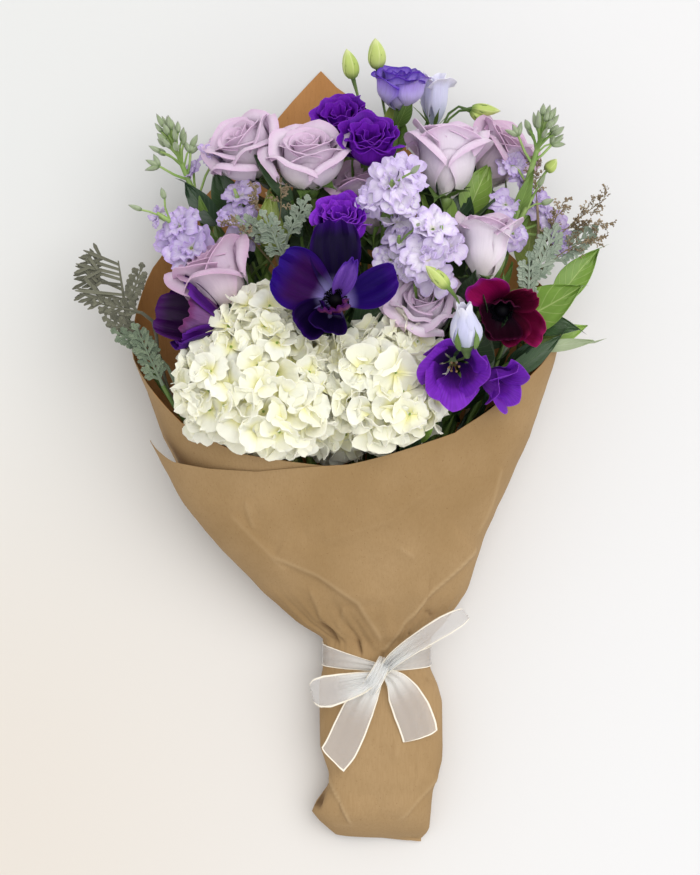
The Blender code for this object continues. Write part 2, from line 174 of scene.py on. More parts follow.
# A stem's curve: how far it runs on past the tie and back from its neck, as shares of the
# way between them, and how much it keeps to the bundle's own direction.
SWEEP = 0.42
ARRIVAL = 0.22
STRAIGHTEN = Vector((0, 0.5, 0))
STEM_STEPS = 11
# No leaf hangs below this height.
LOWEST = 1.5 * MM
UP = Vector((0, 0, 1))
# Every place below is measured, in millimetres, from the desk: a spot on the table under
# the middle of the flowers, found from the tie.
TIE_RIGHT = 22 * MM
TIE_BELOW = 168 * MM
tie_low, tie_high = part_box("stem_binding")
tie = (tie_low + tie_high) / 2
desk = Vector((tie.x - TIE_RIGHT, tie.y + TIE_BELOW, 0))


def lerp(low, high, share):
    """The value, or place, at a share of the way from low to high."""
    return low + (high - low) * share


def ease(share):
    """A share from 0 to 1, with a gentle start and end."""
    share = min(1.0, max(0.0, share))
    return share * share * (3 - 2 * share)


def heading(turn, lift):
    """The unit vector turned from +Y towards +X, and lifted above the table."""
    t = math.radians(turn)
    e = math.radians(lift)
    return Vector((math.sin(t) * math.cos(e), math.cos(t) * math.cos(e), math.sin(e)))


def framed(origin, along):
    """A place whose Y runs along, with Z as near to up as it can be."""
    along = along.normalized()
    across = along.cross(UP).normalized()
    over = across.cross(along)
    return Matrix((
        (across.x, along.x, over.x, origin.x),
        (across.y, along.y, over.y, origin.y),
        (across.z, along.z, over.z, origin.z),
        (0, 0, 0, 1),
    ))


def standing(origin, facing):
    """A place whose Z runs the way it faces."""
    return framed(origin, facing) @ Matrix.Rotation(-math.pi / 2, 4, "X")


def seat(x, y, z, turn, lift, radius, depth):
    """A flower's place at its neck, with Z the way it faces, and its radius and depth."""
    facing = heading(turn, lift)
    neck = desk + Vector((x, y, z)) * MM - facing * depth * MM / 2
    return standing(neck, facing), radius * MM, depth * MM


def bezier(p0, p1, p2, p3, t):
    """A curve's point and direction at the share t, from its four control points."""
    s = 1 - t
    point = s**3 * p0 + 3 * s * s * t * p1 + 3 * s * t * t * p2 + t**3 * p3
    tangent = s * s * (p1 - p0) + 2 * s * t * (p2 - p1) + t * t * (p3 - p2)
    return point, tangent.normalized()


def facing_of(place):
    """The way a flower faces."""
    return (place.to_3x3() @ UP).normalized()


def off_axis(place, turn, out, tilt, up=0.0):
    """A place beside a flower's axis: turned round it, moved out and up, and tilted."""
    moved = place @ Matrix.Rotation(turn, 4, "Z") @ Matrix.Translation((0, out, up))
    return moved @ Matrix.Rotation(tilt, 4, "X")


def stem_curve(name, place):
    """The four control points of a stem's curve, from its own spot in the tie."""
    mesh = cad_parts[name].data
    low = min(corner.co.y for corner in mesh.vertices)
    ends = [corner.co for corner in mesh.vertices if corner.co.y < low + 0.1 * MM]
    cut = sum(ends, Vector()) / len(ends)
    tied = Vector((cut.x, tie.y, cut.z))
    neck = place.translation
    facing = facing_of(place)
    reach = (neck - tied).length
    out = (neck - tied).normalized() + STRAIGHTEN
    return tied, tied + out.normalized() * reach * SWEEP, neck - facing * reach * ARRIVAL, neck


def twig_curve(curve, start, place):
    """A side shoot's control points: it leaves a stem's curve at the share start."""
    root, along = bezier(*curve, start)
    neck = place.translation
    reach = (neck - root).length
    return root, root + along * reach * 0.4, neck - facing_of(place) * reach * 0.3, neck


def tissue():
    """An empty bmesh for plant parts, with a UV map and an age from 0 to 1."""
    bm = bmesh.new()
    bm.loops.layers.uv.new("UVMap")
    bm.verts.layers.float.new("age")
    return bm


def dress(bm, corners, age, finish_index):
    """Gives corners their age, and the faces between them their finish."""
    layer = bm.verts.layers.float["age"]
    faces = set()
    for corner in corners:
        corner[layer] = age
        faces.update(corner.link_faces)
    for face in faces:
        face.material_index = finish_index


def rod(bm, points, radii, sides=8, age=0.5, finish_index=1):
    """A round stalk or bud through points, with a radius at each."""
    before = None
    across = Vector((1, 0, 0.3))
    corners = []
    for index, (point, radius) in enumerate(zip(points, radii)):
        tangent = (points[min(index + 1, len(points) - 1)] - points[max(index - 1, 0)]).normalized()
        across = (across - across.dot(tangent) * tangent).normalized()
        up = tangent.cross(across)
        place = Matrix((
            (across.x, up.x, tangent.x, point.x),
            (across.y, up.y, tangent.y, point.y),
            (across.z, up.z, tangent.z, point.z),
            (0, 0, 0, 1),
        ))
        at_end = index in (0, len(points) - 1)
        ring = bmesh.ops.create_circle(bm, cap_ends=at_end, segments=sides, radius=radius, matrix=place)
        corners += ring["verts"]
        edges = list({edge for corner in ring["verts"] for edge in corner.link_edges})
        if before:
            bmesh.ops.bridge_loops(bm, edges=before + edges)
        before = edges
    bmesh.ops.recalc_face_normals(bm, faces=list({f for c in corners for f in c.link_faces}))
    dress(bm, corners, age, finish_index)


def fan(v):
    """Width of a petal that is narrow at its foot and broad at its rim."""
    return 0.16 + 0.84 * math.sin(math.pi * (0.02 + 0.62 * v)) ** 1.2


def lance(v):
    """Width of a pointed leaf."""
    return math.sin(math.pi * (0.06 + 0.92 * v**0.8)) ** 0.9


def spoon(v):
    """Width of a petal that is broadest past its middle and blunt at its end."""
    return math.sin(math.pi * (0.05 + 0.69 * v**1.15)) ** 0.75


def club(v):
    """Width of a finger with a rounded, slightly swollen end."""
    return (0.6 + 0.4 * v) * min(1.0, 5 * (1.02 - v)) ** 0.5


# A tip's notch, as a share of the half width, and the bend below which a blade is flat.
NOTCH_WIDTH = 0.22
FLAT = 0.02


def blade(bm, place, width, length, shape, cells=(6, 8), bend=0.0, trough=0.0, ruffle=0.0,
          waves=3.0, phase=0.0, round_off=0.2, notch=0.0, sway=0.0, age=0.5, finish_index=0):
    """A petal, sepal or leaf that starts at its place and runs along its Y.

    width is its half width, and shape gives its share at each part of the length; bend
    curls it up over its length, in radians; trough lifts its sides; ruffle waves its rim;
    round_off draws its corners back; notch dents its tip; sway turns it sideways.
    """
    made = bmesh.ops.create_grid(bm, x_segments=cells[0], y_segments=cells[1], size=1, calc_uvs=True)
    for corner in made["verts"]:
        u = corner.co.x
        v = (corner.co.y + 1) / 2
        w = v * (1 - round_off * abs(u) ** 2.4 - notch * math.exp(-((u / NOTCH_WIDTH) ** 2)))
        x = u * width * shape(v)
        y = length * w
        z = 0.0
        if abs(bend) > FLAT:
            y = length * math.sin(bend * w) / bend
            z = length * (1 - math.cos(bend * w)) / bend
        z += trough * abs(u) ** 1.6 * shape(v) * width
        z += ruffle * math.sin(waves * math.pi * u + phase + 2.2 * v) * w**1.5
        x += sway * length * w * w
        corner.co = place @ Vector((x, y, z))
        corner.co.z = max(corner.co.z, LOWEST)
    dress(bm, made["verts"], age, finish_index)


# How much of a cupped petal's margin is bent before it hangs straight, and how high up the
# petal its belly is.
BENT_SHARE = 0.6
BELLY_AT = 0.55


def cup_petal(bm, place, turn, spread, neck, belly, rim, top, roll, roll_start, ruffle, waves, phase,
              spiral, round_off, age, tuck=0.0, point=0.0, cells=(14, 14)):
    """A petal of a cupped flower, round the flower's axis at the angle turn.

    It widens from its neck to its belly and ends at its rim's radius and top's height;
    past roll_start its margin rolls outwards by roll, in radians, and then hangs straight.
    spread is half its width, in radians; ruffle waves its rim; spiral sets one side
    outside the other; round_off draws its corners down; tuck lifts its sides off the petal
    inside; point raises its tip.
    """
    made = bmesh.ops.create_grid(bm, x_segments=cells[0], y_segments=cells[1], size=1, calc_uvs=True)
    for corner in made["verts"]:
        u = corner.co.x
        v = 1 - ((1 - corner.co.y) / 2) ** 1.35
        side = abs(u)
        crown = 1 - round_off * side**2.2 + point * (1 - side) ** 2
        w = min(v, roll_start) * crown
        if w < BELLY_AT:
            r = lerp(neck, belly, math.sin(math.pi / 2 * w / BELLY_AT) ** 0.9)
        else:
            r = lerp(belly, rim, ease((w - BELLY_AT) / (1 - BELLY_AT)))
        h = top * w
        share = max(0.0, v - roll_start) / (1 - roll_start)
        turned = max(0.05, roll * lerp(0.62, 1.15, side**1.5))
        length = top * crown * (1 - roll_start)
        curl = length * BENT_SHARE / turned
        bent = turned * min(1.0, share / BENT_SHARE)
        hanging = length * max(0.0, share - BENT_SHARE)
        r += curl * (1 - math.cos(bent)) + hanging * math.sin(turned)
        h += curl * math.sin(bent) + hanging * math.cos(turned)
        edge = (w + length / top * share) ** 3
        r += rim * tuck * ease((side - 0.6) / 0.4) * ease(w / 0.4)
        r = (r + ruffle * math.sin(waves * math.pi * u + phase) * edge) * (1 + spiral * u)
        h += 0.6 * ruffle * math.cos(waves * math.pi * u * 0.8 + phase * 1.7) * edge
        angle = turn + u * spread * lerp(0.35, 1.0, ease(w / 0.6))
        corner.co = place @ Vector((r * math.cos(angle), r * math.sin(angle), h))
    dress(bm, made["verts"], age, 0)


def piece(name, bm, finishes, nodes, smooth=50):
    """The finished bmesh as a piece of the bouquet that stands for CAD nodes."""
    mesh = bpy.data.meshes.new(name)
    bm.to_mesh(mesh)
    bm.free()
    for material in finishes:
        mesh.materials.append(material)
    mesh.shade_smooth()
    mesh.set_sharp_from_angle(angle=math.radians(smooth))
    made = bpy.data.objects.new(name, mesh)
    bpy.context.scene.collection.objects.link(made)
    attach(made, "root")
    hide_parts(*nodes)
    return made


def wall(bm, thickness):
    """Gives every open petal and leaf so far its thickness."""
    bmesh.ops.solidify(bm, geom=bm.faces[:], thickness=thickness)


def grow_stem(bm, curve, neck_radius):
    """The straight cut stem below the tie, and the curve above it."""
    tied = curve[0]
    cut = Vector((tied.x, desk.y + CUT_END, tied.z))
    points = [cut, lerp(tied, cut, 0.5)]
    radii = [STEM_RADIUS, STEM_RADIUS]
    for step in range(STEM_STEPS + 1):
        t = step / STEM_STEPS
        points.append(bezier(*curve, t)[0])
        radii.append(lerp(STEM_RADIUS, neck_radius, t * t))
    rod(bm, points, radii, age=0.4)


def grow_twig(bm, twig, radii, sides=6, finish_index=1):
    """A side shoot's stalk along its curve, with a radius in millimetres at each step."""
    last = len(radii) - 1
    rod(bm, [bezier(*twig, step / last)[0] for step in range(last + 1)], [radius * MM for radius in radii],
        sides=sides, finish_index=finish_index)


def grow_leaf(bm, curve, share, turn, tilt, length, width, rng, finish_index=0, age=0.5):
    """A leaf on a stem: at a share of its curve, turned round it and tilted off it."""
    point, tangent = bezier(*curve, share)
    place = framed(point, tangent) @ Matrix.Rotation(turn, 4, "Y") @ Matrix.Rotation(tilt, 4, "X")
    blade(bm, place, width, length, lance, bend=rng.uniform(-0.9, -0.3), trough=0.35,
          ruffle=length * 0.02, waves=4, phase=rng.uniform(0, 6), round_off=0.06,
          sway=rng.uniform(-0.12, 0.12), age=age, finish_index=finish_index)


def effect(name, colours, values):
    """A shared effect's node group, with its inputs, and its outputs Color and Height."""
    group = bpy.data.node_groups.new(name, "ShaderNodeTree")
    for kind, keys in (("Color", colours), ("Float", values)):
        for key in keys:
            group.interface.new_socket(key, in_out="INPUT", socket_type="NodeSocket" + kind)
    group.interface.new_socket("Color", in_out="OUTPUT", socket_type="NodeSocketColor")
    group.interface.new_socket("Height", in_out="OUTPUT", socket_type="NodeSocketFloat")
    return group, group.nodes.new("NodeGroupInput").outputs, group.nodes.new("NodeGroupOutput").inputs


def age_of(tree):
    """How old a petal or leaf is, or how worn a sheet is, with the paper's painted highlights on its ridges
    and painted shade in its tucks.
    """
    return add(tree, "Attribute", attribute_name="age").outputs["Fac"]


def along_and_across(tree):
    """A blade's UV place: across it and along it, and how far off its middle line."""
    spread = add(tree, "SeparateXYZ", s_0=add(tree, "UVMap", uv_map="UVMap").outputs[0]).outputs
    return spread["X"], spread["Y"], maths(tree, "ABSOLUTE", maths(tree, "SUBTRACT", spread["X"], 0.5))


def grain_group():
    """Fine cell grain and blotches, for everything that grows."""
    group, inside, outside = effect("plant_grain", ("Color",), ("Blotch",))
    places = places_of(group)
    wide = noisy(group, places, 90.0, 3.0)
    fine = noisy(group, places, 1400.0, 2.0)
    swing = maths(group, "MULTIPLY", maths(group, "SUBTRACT", wide, 0.5), inside["Blotch"])
    toned = add(group, "HueSaturation", s_Color=inside["Color"], s_Value=maths(group, "ADD", swing, 1.0))
    group.links.new(toned.outputs["Color"], outside["Color"])
    group.links.new(maths(group, "ADD", fine, wide), outside["Height"])
    return group


grain = grain_group()


def petal_group():
    """Petal colouring: its foot, its body and its rim, with fine veins along it."""
    group, inside, outside = effect("petal_tissue", ("Foot", "Body", "Rim", "Old"),
                                    ("Foot Reach", "Rim Reach", "Veins"))
    u, v, side = along_and_across(group)
    age = age_of(group)
    foot = ramped(group, v, 0.0, inside["Foot Reach"], 1.0, 0.0)
    rim_from = maths(group, "SUBTRACT", 1.0, inside["Rim Reach"])
    top_rim = ramped(group, v, rim_from, 1.0)
    side_rim = ramped(group, side, maths(group, "MULTIPLY", rim_from, 0.5), 0.5)
    rim = maths(group, "MAXIMUM", top_rim, maths(group, "MULTIPLY", side_rim, v))
    body = mixed(group, age, inside["Body"], inside["Old"])
    colour = mixed(group, rim, mixed(group, foot, body, inside["Foot"]), inside["Rim"])
    stretch = add(group, "CombineXYZ", s_X=maths(group, "MULTIPLY", u, 34.0),
                  s_Y=maths(group, "MULTIPLY", v, 2.6), s_Z=maths(group, "MULTIPLY", age, 90.0))
    veins = noisy(group, stretch.outputs[0], 1.0, 3.0)
    swing = maths(group, "MULTIPLY", maths(group, "SUBTRACT", veins, 0.5), inside["Veins"])
    toned = add(group, "HueSaturation", s_Color=colour, s_Value=maths(group, "ADD", swing, 1.0))
    group.links.new(toned.outputs["Color"], outside["Color"])
    group.links.new(veins, outside["Height"])
    return group


petal_tissue = petal_group()


def grained(tree, shader, colour, blotch):
    """Lays a colour on a shader through the grain, and gives the grain's height."""
    cells = add(tree, "Group", node_tree=grain, s_Color=colour, s_Blotch=blotch).outputs
    tree.links.new(cells["Color"], shader.inputs["Base Color"])
    return cells["Height"]


def petal_finish(name, foot, body, old, rim, foot_reach, rim_reach, veins=0.3, roughness=0.55,
                 sheen=0.1, glow=0.25, specular=0.3, depth=0.003):
    """A petal's material: the colours of its foot, its body when young and old, and its rim,
    how far the foot and the rim reach, how strong its veins are, and how light goes in."""
    made, tree, shader = finish(name, roughness, Sheen_Weight=sheen, Subsurface_Weight=glow,
                                Subsurface_Scale=depth, Subsurface_Radius=(1.0, 0.9, 0.9),
                                Specular_IOR_Level=specular)
    colours = add(tree, "Group", node_tree=petal_tissue, s_Foot=srgb(*foot), s_Body=srgb(*body),
                  s_Old=srgb(*old), s_Rim=srgb(*rim), s_Foot_Reach=foot_reach, s_Rim_Reach=rim_reach,
                  s_Veins=veins).outputs
    fine = maths(tree, "MULTIPLY", grained(tree, shader, colours["Color"], 0.12), 0.15)
    bumped(tree, shader, maths(tree, "ADD", colours["Height"], fine), 0.35, 0.0006)
    return made


def leaf_finish(name, dark, light, vein, roughness=0.42, ribs=9.0, sheen=0.0):
    """A leaf's material: a pale midrib and side veins over mottled green."""
    made, tree, shader = finish(name, roughness, Sheen_Weight=sheen, Specular_IOR_Level=0.45)
    _, v, side = along_and_across(tree)
    climb = maths(tree, "SUBTRACT", v, maths(tree, "MULTIPLY", side, 0.7))
    wave = maths(tree, "SINE", maths(tree, "MULTIPLY", climb, ribs * math.tau))
    ribbed = ramped(tree, wave, 0.86, 1.0)
    middle = ramped(tree, side, 0.0, 0.035, 1.0, 0.0)
    veins = maths(tree, "MAXIMUM", middle, maths(tree, "MULTIPLY", ribbed, 0.45))
    body = mixed(tree, age_of(tree), srgb(*dark), srgb(*light))
    colour = mixed(tree, maths(tree, "MULTIPLY", veins, 0.6), body, srgb(*vein))
    fine = maths(tree, "MULTIPLY", grained(tree, shader, colour, 0.5), 0.3)
    bumped(tree, shader, maths(tree, "SUBTRACT", fine, veins), 0.5, 0.0005)
    return made


def stalk_finish(name, dark, light, roughness=0.5, specular=0.5):
    """A stalk's material: mottled between two tones."""
    made, tree, shader = finish(name, roughness, Specular_IOR_Level=specular)
    mottle = noisy(tree, places_of(tree), 60.0, 4.0)
    colour = mixed(tree, ramped(tree, mottle, 0.3, 0.7), srgb(*dark), srgb(*light))
    bumped(tree, shader, grained(tree, shader, colour, 0.5), 0.3, 0.0004)
    return made


green_leaf = leaf_finish("green_leaf", (54, 82, 34), (108, 138, 62), (150, 176, 98))
rose_leaf = leaf_finish("rose_leaf", (26, 46, 26), (66, 92, 46), (92, 116, 70), ribs=8.0)
green_stalk = stalk_finish("green_stalk", (70, 98, 42), (112, 138, 68))

# The roses: eight mauve garden roses, with broad petals that roll back at their rims and
# a spiral heart; green sepals, a swollen hip and broad toothed leaves below each head.
ROSES = (
    (-29, 202, 112, -6, 32, 28, 44),
    (-74, 213, 84, -36, 30, 26, 46),
    (73, 205, 98, 3, 10, 27, 58),
    (113, 211, 62, 34, 20, 25, 50),
    (-94, 115, 112, -35, 14, 27, 55),
    (100, 138, 118, 3, 6, 21, 52),
    (15, 176, 92, -10, 24, 24, 54),
    (56, 94, 114, -8, 50, 23, 38),
)
# The outer petals of each head, inside first: degrees from the front round by the right,
# half spread, share of the full height, reach at the rim, roll, and how far the corners drop.
OPEN_GUARDS = (
    (150, 1.05, 1.0, 0.74, 1.3, 0.12), (-120, 1.05, 0.99, 0.78, 1.5, 0.12), (15, 1.05, 0.98, 0.8, 1.6, 0.14),
    (95, 1.0, 0.97, 0.88, 2.0, 0.18), (-165, 1.05, 0.97, 0.92, 2.2, 0.18), (-48, 1.0, 0.93, 0.92, 2.4, 0.22),
    (52, 1.0, 0.91, 0.98, 2.7, 0.26), (-98, 0.9, 0.88, 1.02, 2.8, 0.26), (172, 0.95, 0.93, 1.02, 2.6, 0.24),
)
GOBLET_GUARDS = (
    (160, 1.15, 1.00, 0.80, 1.4, 0.12), (-85, 1.1, 1.00, 0.80, 1.2, 0.12), (5, 1.0, 0.99, 0.84, 1.3, 0.10),
    (98, 0.95, 1.0, 0.9, 2.2, 0.2), (-150, 1.05, 0.99, 0.92, 2.0, 0.18), (-62, 1.12, 0.96, 0.94, 2.9, 0.3),
    (60, 1.12, 0.96, 0.98, 3.0, 0.36),
)
TUBE_GUARDS = (
    (150, 1.2, 1.00, 0.86, 1.0, 0.08), (-110, 1.2, 1.00, 0.90, 1.2, 0.10), (80, 1.1, 0.99, 0.98, 1.6, 0.12),
    (-25, 1.3, 0.97, 1.02, 2.1, 0.14),
)
# Each rose's guards, how far they are swung round, how full it is, where its petals start to
# roll, how ruffled they are, and its tone.
ROSE_FORMS = (
    (OPEN_GUARDS, 0, 0.9, 0.75, 0.035, 0), (OPEN_GUARDS, 40, 0.9, 0.75, 0.035, 0),
    (GOBLET_GUARDS, 0, 0.74, 0.78, 0.045, 1), (GOBLET_GUARDS, 35, 0.76, 0.76, 0.04, 2),
    (GOBLET_GUARDS, 38, 0.76, 0.73, 0.035, 2), (TUBE_GUARDS, 0, 0.70, 0.78, 0.04, 1),
    (OPEN_GUARDS, -30, 0.9, 0.75, 0.035, 2), (OPEN_GUARDS, 70, 0.95, 0.70, 0.09, 1),
)
# Petals and leaves follow each other round a stem at the golden angle.
GOLDEN = math.radians(137.5)
HEART_PETALS = 12
ROSE_WALL = 0.55 * MM
LEAF_WALL = 0.4 * MM
# The pale finish is partly a paler rose's own tone and partly painted light: it also brightens rose_8, which
# sits in shade.
rose_petals = (
    petal_finish("rose_petal", (222, 212, 206), (216, 196, 217), (228, 212, 228), (212, 182, 210),
                 0.6, 0.3, veins=0.10, glow=0.4),
    petal_finish("pale_rose_petal", (238, 228, 230), (230, 213, 232), (240, 228, 242), (216, 187, 214),
                 0.6, 0.32, veins=0.10, glow=0.4),
    petal_finish("dusky_rose_petal", (214, 198, 200), (206, 182, 205), (216, 196, 214), (200, 164, 194),
                 0.6, 0.3, veins=0.14, glow=0.4),
)


def rose(name, head, form, rng):
    """A rose on its stem: a spiral heart, and guard petals round it."""
    place, radius, depth = seat(*head)
    guards, swing, fullness, fold, ruffled, tone = form
    bm = tissue()
    first = rng.uniform(0, math.tau)
    for index in range(HEART_PETALS):
        s = index / (HEART_PETALS - 1)
        rim = radius * lerp(0.06, 0.62, s)
        cup_petal(
            bm, place, first + index * GOLDEN, spread=lerp(2.0, 1.15, s), neck=radius * 0.05,
            belly=rim * lerp(1.4, 1.05, s) + radius * 0.04, rim=rim, top=depth * lerp(0.93, 0.97, s),
            roll=lerp(0.2, 1.5, s), roll_start=0.86, ruffle=radius * 0.02, waves=rng.uniform(1.0, 1.8),
            phase=rng.uniform(0, 6.28), spiral=lerp(0.22, 0.12, s), round_off=0.10, point=0.02,
            age=rng.random(),
        )
    for index, (turn, spread, height, reach, roll, drop) in enumerate(guards):
        s = (index + 1) / len(guards)
        rim = radius * reach
        cup_petal(
            bm, place, math.radians(turn + swing - 90) + rng.uniform(-0.08, 0.08), spread=spread,
            neck=radius * lerp(0.08, 0.16, s),
            belly=rim * lerp(fullness, 0.97, 0.25) * rng.uniform(0.97, 1.02),
            rim=rim, top=depth * height * (1 + (0.77 - fold) * 0.6), roll=roll * rng.uniform(0.92, 1.08),
            roll_start=fold, tuck=0.07 * s, ruffle=radius * ruffled, waves=rng.uniform(1.2, 2.6),
            phase=rng.uniform(0, 6.28), spiral=0.04, round_off=drop, point=0.05, cells=(14, 18),
            age=rng.random(),
        )
    wall(bm, ROSE_WALL)
    piece(name + "_petals", bm, [rose_petals[tone]], [name])

    bm = tissue()
    for index in range(5):
        sepal = off_axis(place, first + index * math.tau / 5, radius * 0.10, rng.uniform(0.4, 0.9))
        blade(bm, sepal, radius * 0.17, radius * 0.9, lance, cells=(4, 8),
              bend=rng.uniform(-1.6, -0.6), trough=0.3, sway=rng.uniform(-0.1, 0.1), age=0.4)
    curve = stem_curve(name, place)
    for index in range(9):
        grow_leaf(bm, curve, 0.95 - 0.05 * index, index * GOLDEN + first, rng.uniform(0.5, 1.1),
                  rng.uniform(34, 52) * MM, rng.uniform(12, 17) * MM, rng, finish_index=2,
                  age=rng.uniform(0, 0.8))
    wall(bm, LEAF_WALL)
    grow_stem(bm, curve, radius * 0.1)
    hip = [place @ Vector((0, 0, z * radius)) for z in (-0.25, -0.1, 0.05, 0.16)]
    rod(bm, hip, [radius * r for r in (0.10, 0.20, 0.24, 0.16)], sides=10, age=0.6)
    piece(name + "_stem", bm, [green_leaf, green_stalk, rose_leaf], [name])


for number, (head, form) in enumerate(zip(ROSES, ROSE_FORMS), 1):
    rose(f"rose_{number}", head, form, Random(f"rose {number}"))

# The lisianthus: double ruffled cups in deep violet, two open trumpets, one pale lavender
# bell, and buds on thin side stalks: pointed green ones and a pale one about to open.
LISIANTHUS = (
    (38, 262, 76, 4, 24, 19, 31),
    (66, 258, 52, 2, 12, 11.5, 42),
    (15, 214, 116, 6, 48, 21, 32),
    (-5, 235, 80, -10, 44, 20, 32),
    (-4, 156, 122, -4, 50, 19, 32),
    (76, 50, 150, 180, 74, 31, 40),
    (110, 40, 130, 118, 34, 20, 36),
)
# How many petals each double flower has, and its finish.
LISIANTHUS_FORMS = (
    (11, "dawn"), (5, "pale"), (16, "deep"), (15, "deep"), (19, "violet"), (0, "trumpet"), (0, "trumpet"),
)
# The trumpets' petals: degrees from the front round by the right, reach and height.
TRUMPETS = {
    6: ((178, 1.48, 0.95), (122, 0.88, 0.95), (68, 1.00, 1.0), (16, 0.86, 0.9), (-52, 0.84, 1.0),
        (-116, 0.84, 0.95)),
    7: ((160, 0.9, 1.0), (-120, 0.85, 1.05), (-40, 0.95, 1.1), (25, 1.02, 1.0), (95, 0.95, 1.1)),
}
# The buds on side stalks: where each leaves the stem, whether it is opening, and its place.
BUDS = {
    1: ((0.80, 0, (21, 288, 84, -6, 36, 6.5, 24)), (0.70, 0, (1, 281, 80, -14, 30, 6, 23))),
    2: ((0.75, 0, (105, 249, 60, 96, 8, 4.5, 22)), (0.68, 0, (100, 243, 58, 130, 4, 3.5, 17))),
    6: ((0.80, 1, (83, 80, 167, -5, 26, 11, 33)), (0.66, 0, (63, 115, 158, -48, 18, 5, 23))),
}
# The trumpets' near-black foot is painted shade in their throats; the dark feet of the violet and deep violet
# petals are partly the petals' own darker base and partly painted shade deep in the cups.
lisianthus_finishes = {
    "violet": petal_finish("violet_petal", (50, 8, 92), (138, 48, 204), (112, 30, 184), (136, 52, 200),
                           0.5, 0.1, veins=0.7, glow=0.2, sheen=0.0, specular=0.15),
    "trumpet": petal_finish("violet_trumpet_petal", (24, 4, 56), (116, 40, 178), (94, 26, 156),
                            (120, 48, 178), 0.62, 0.1, veins=1.0, glow=0.15, sheen=0.0, specular=0.12),
    "deep": petal_finish("deep_violet_petal", (52, 8, 92), (104, 22, 166), (80, 12, 140), (106, 26, 168),
                         0.5, 0.1, veins=0.7, glow=0.2, sheen=0.0, specular=0.15),
    "dawn": petal_finish("dawn_petal", (206, 200, 240), (146, 116, 220), (170, 146, 232), (72, 30, 164),
                         0.75, 0.32, veins=0.5, sheen=0.0),
    "pale": petal_finish("pale_petal", (176, 184, 200), (194, 194, 230), (210, 210, 238), (232, 230, 246),
                         0.5, 0.35, veins=0.25),
}
bud_green = petal_finish("bud_green", (122, 150, 66), (180, 200, 104), (196, 212, 122), (220, 228, 160),
                         0.3, 0.25, glow=0.2)
pollen = stalk_finish("dark_pollen", (36, 24, 40), (150, 120, 60))


BUD_TWIST = 0.5
BELL_MOUTH = 0.5


def bud(bm, place, radius, length, rng, finish_index, wraps=5, mouth=0.0):
    """A closed bud of overlapping petals that twist up to a point, or to an open mouth."""
    for index in range(wraps):
        turn = index * math.tau / wraps
        made = bmesh.ops.create_grid(bm, x_segments=5, y_segments=9, size=1, calc_uvs=True)
        for corner in made["verts"]:
            u = corner.co.x
            v = (corner.co.y + 1) / 2
            closed = math.sin(math.pi * min(1.0, 0.16 + 0.84 * v**0.85)) ** 0.8
            r = radius * max(closed, mouth * ease(v * 1.6)) * (1 + 0.10 * u)
            angle = turn + u * 0.85 * math.tau / wraps + BUD_TWIST * v
            height = length * v * (1 - 0.55 * mouth * u * u * v + 0.08 * mouth * math.sin(3 * turn))
            corner.co = place @ Vector((r * math.cos(angle), r * math.sin(angle), height))
        dress(bm, made["verts"], rng.random(), finish_index)


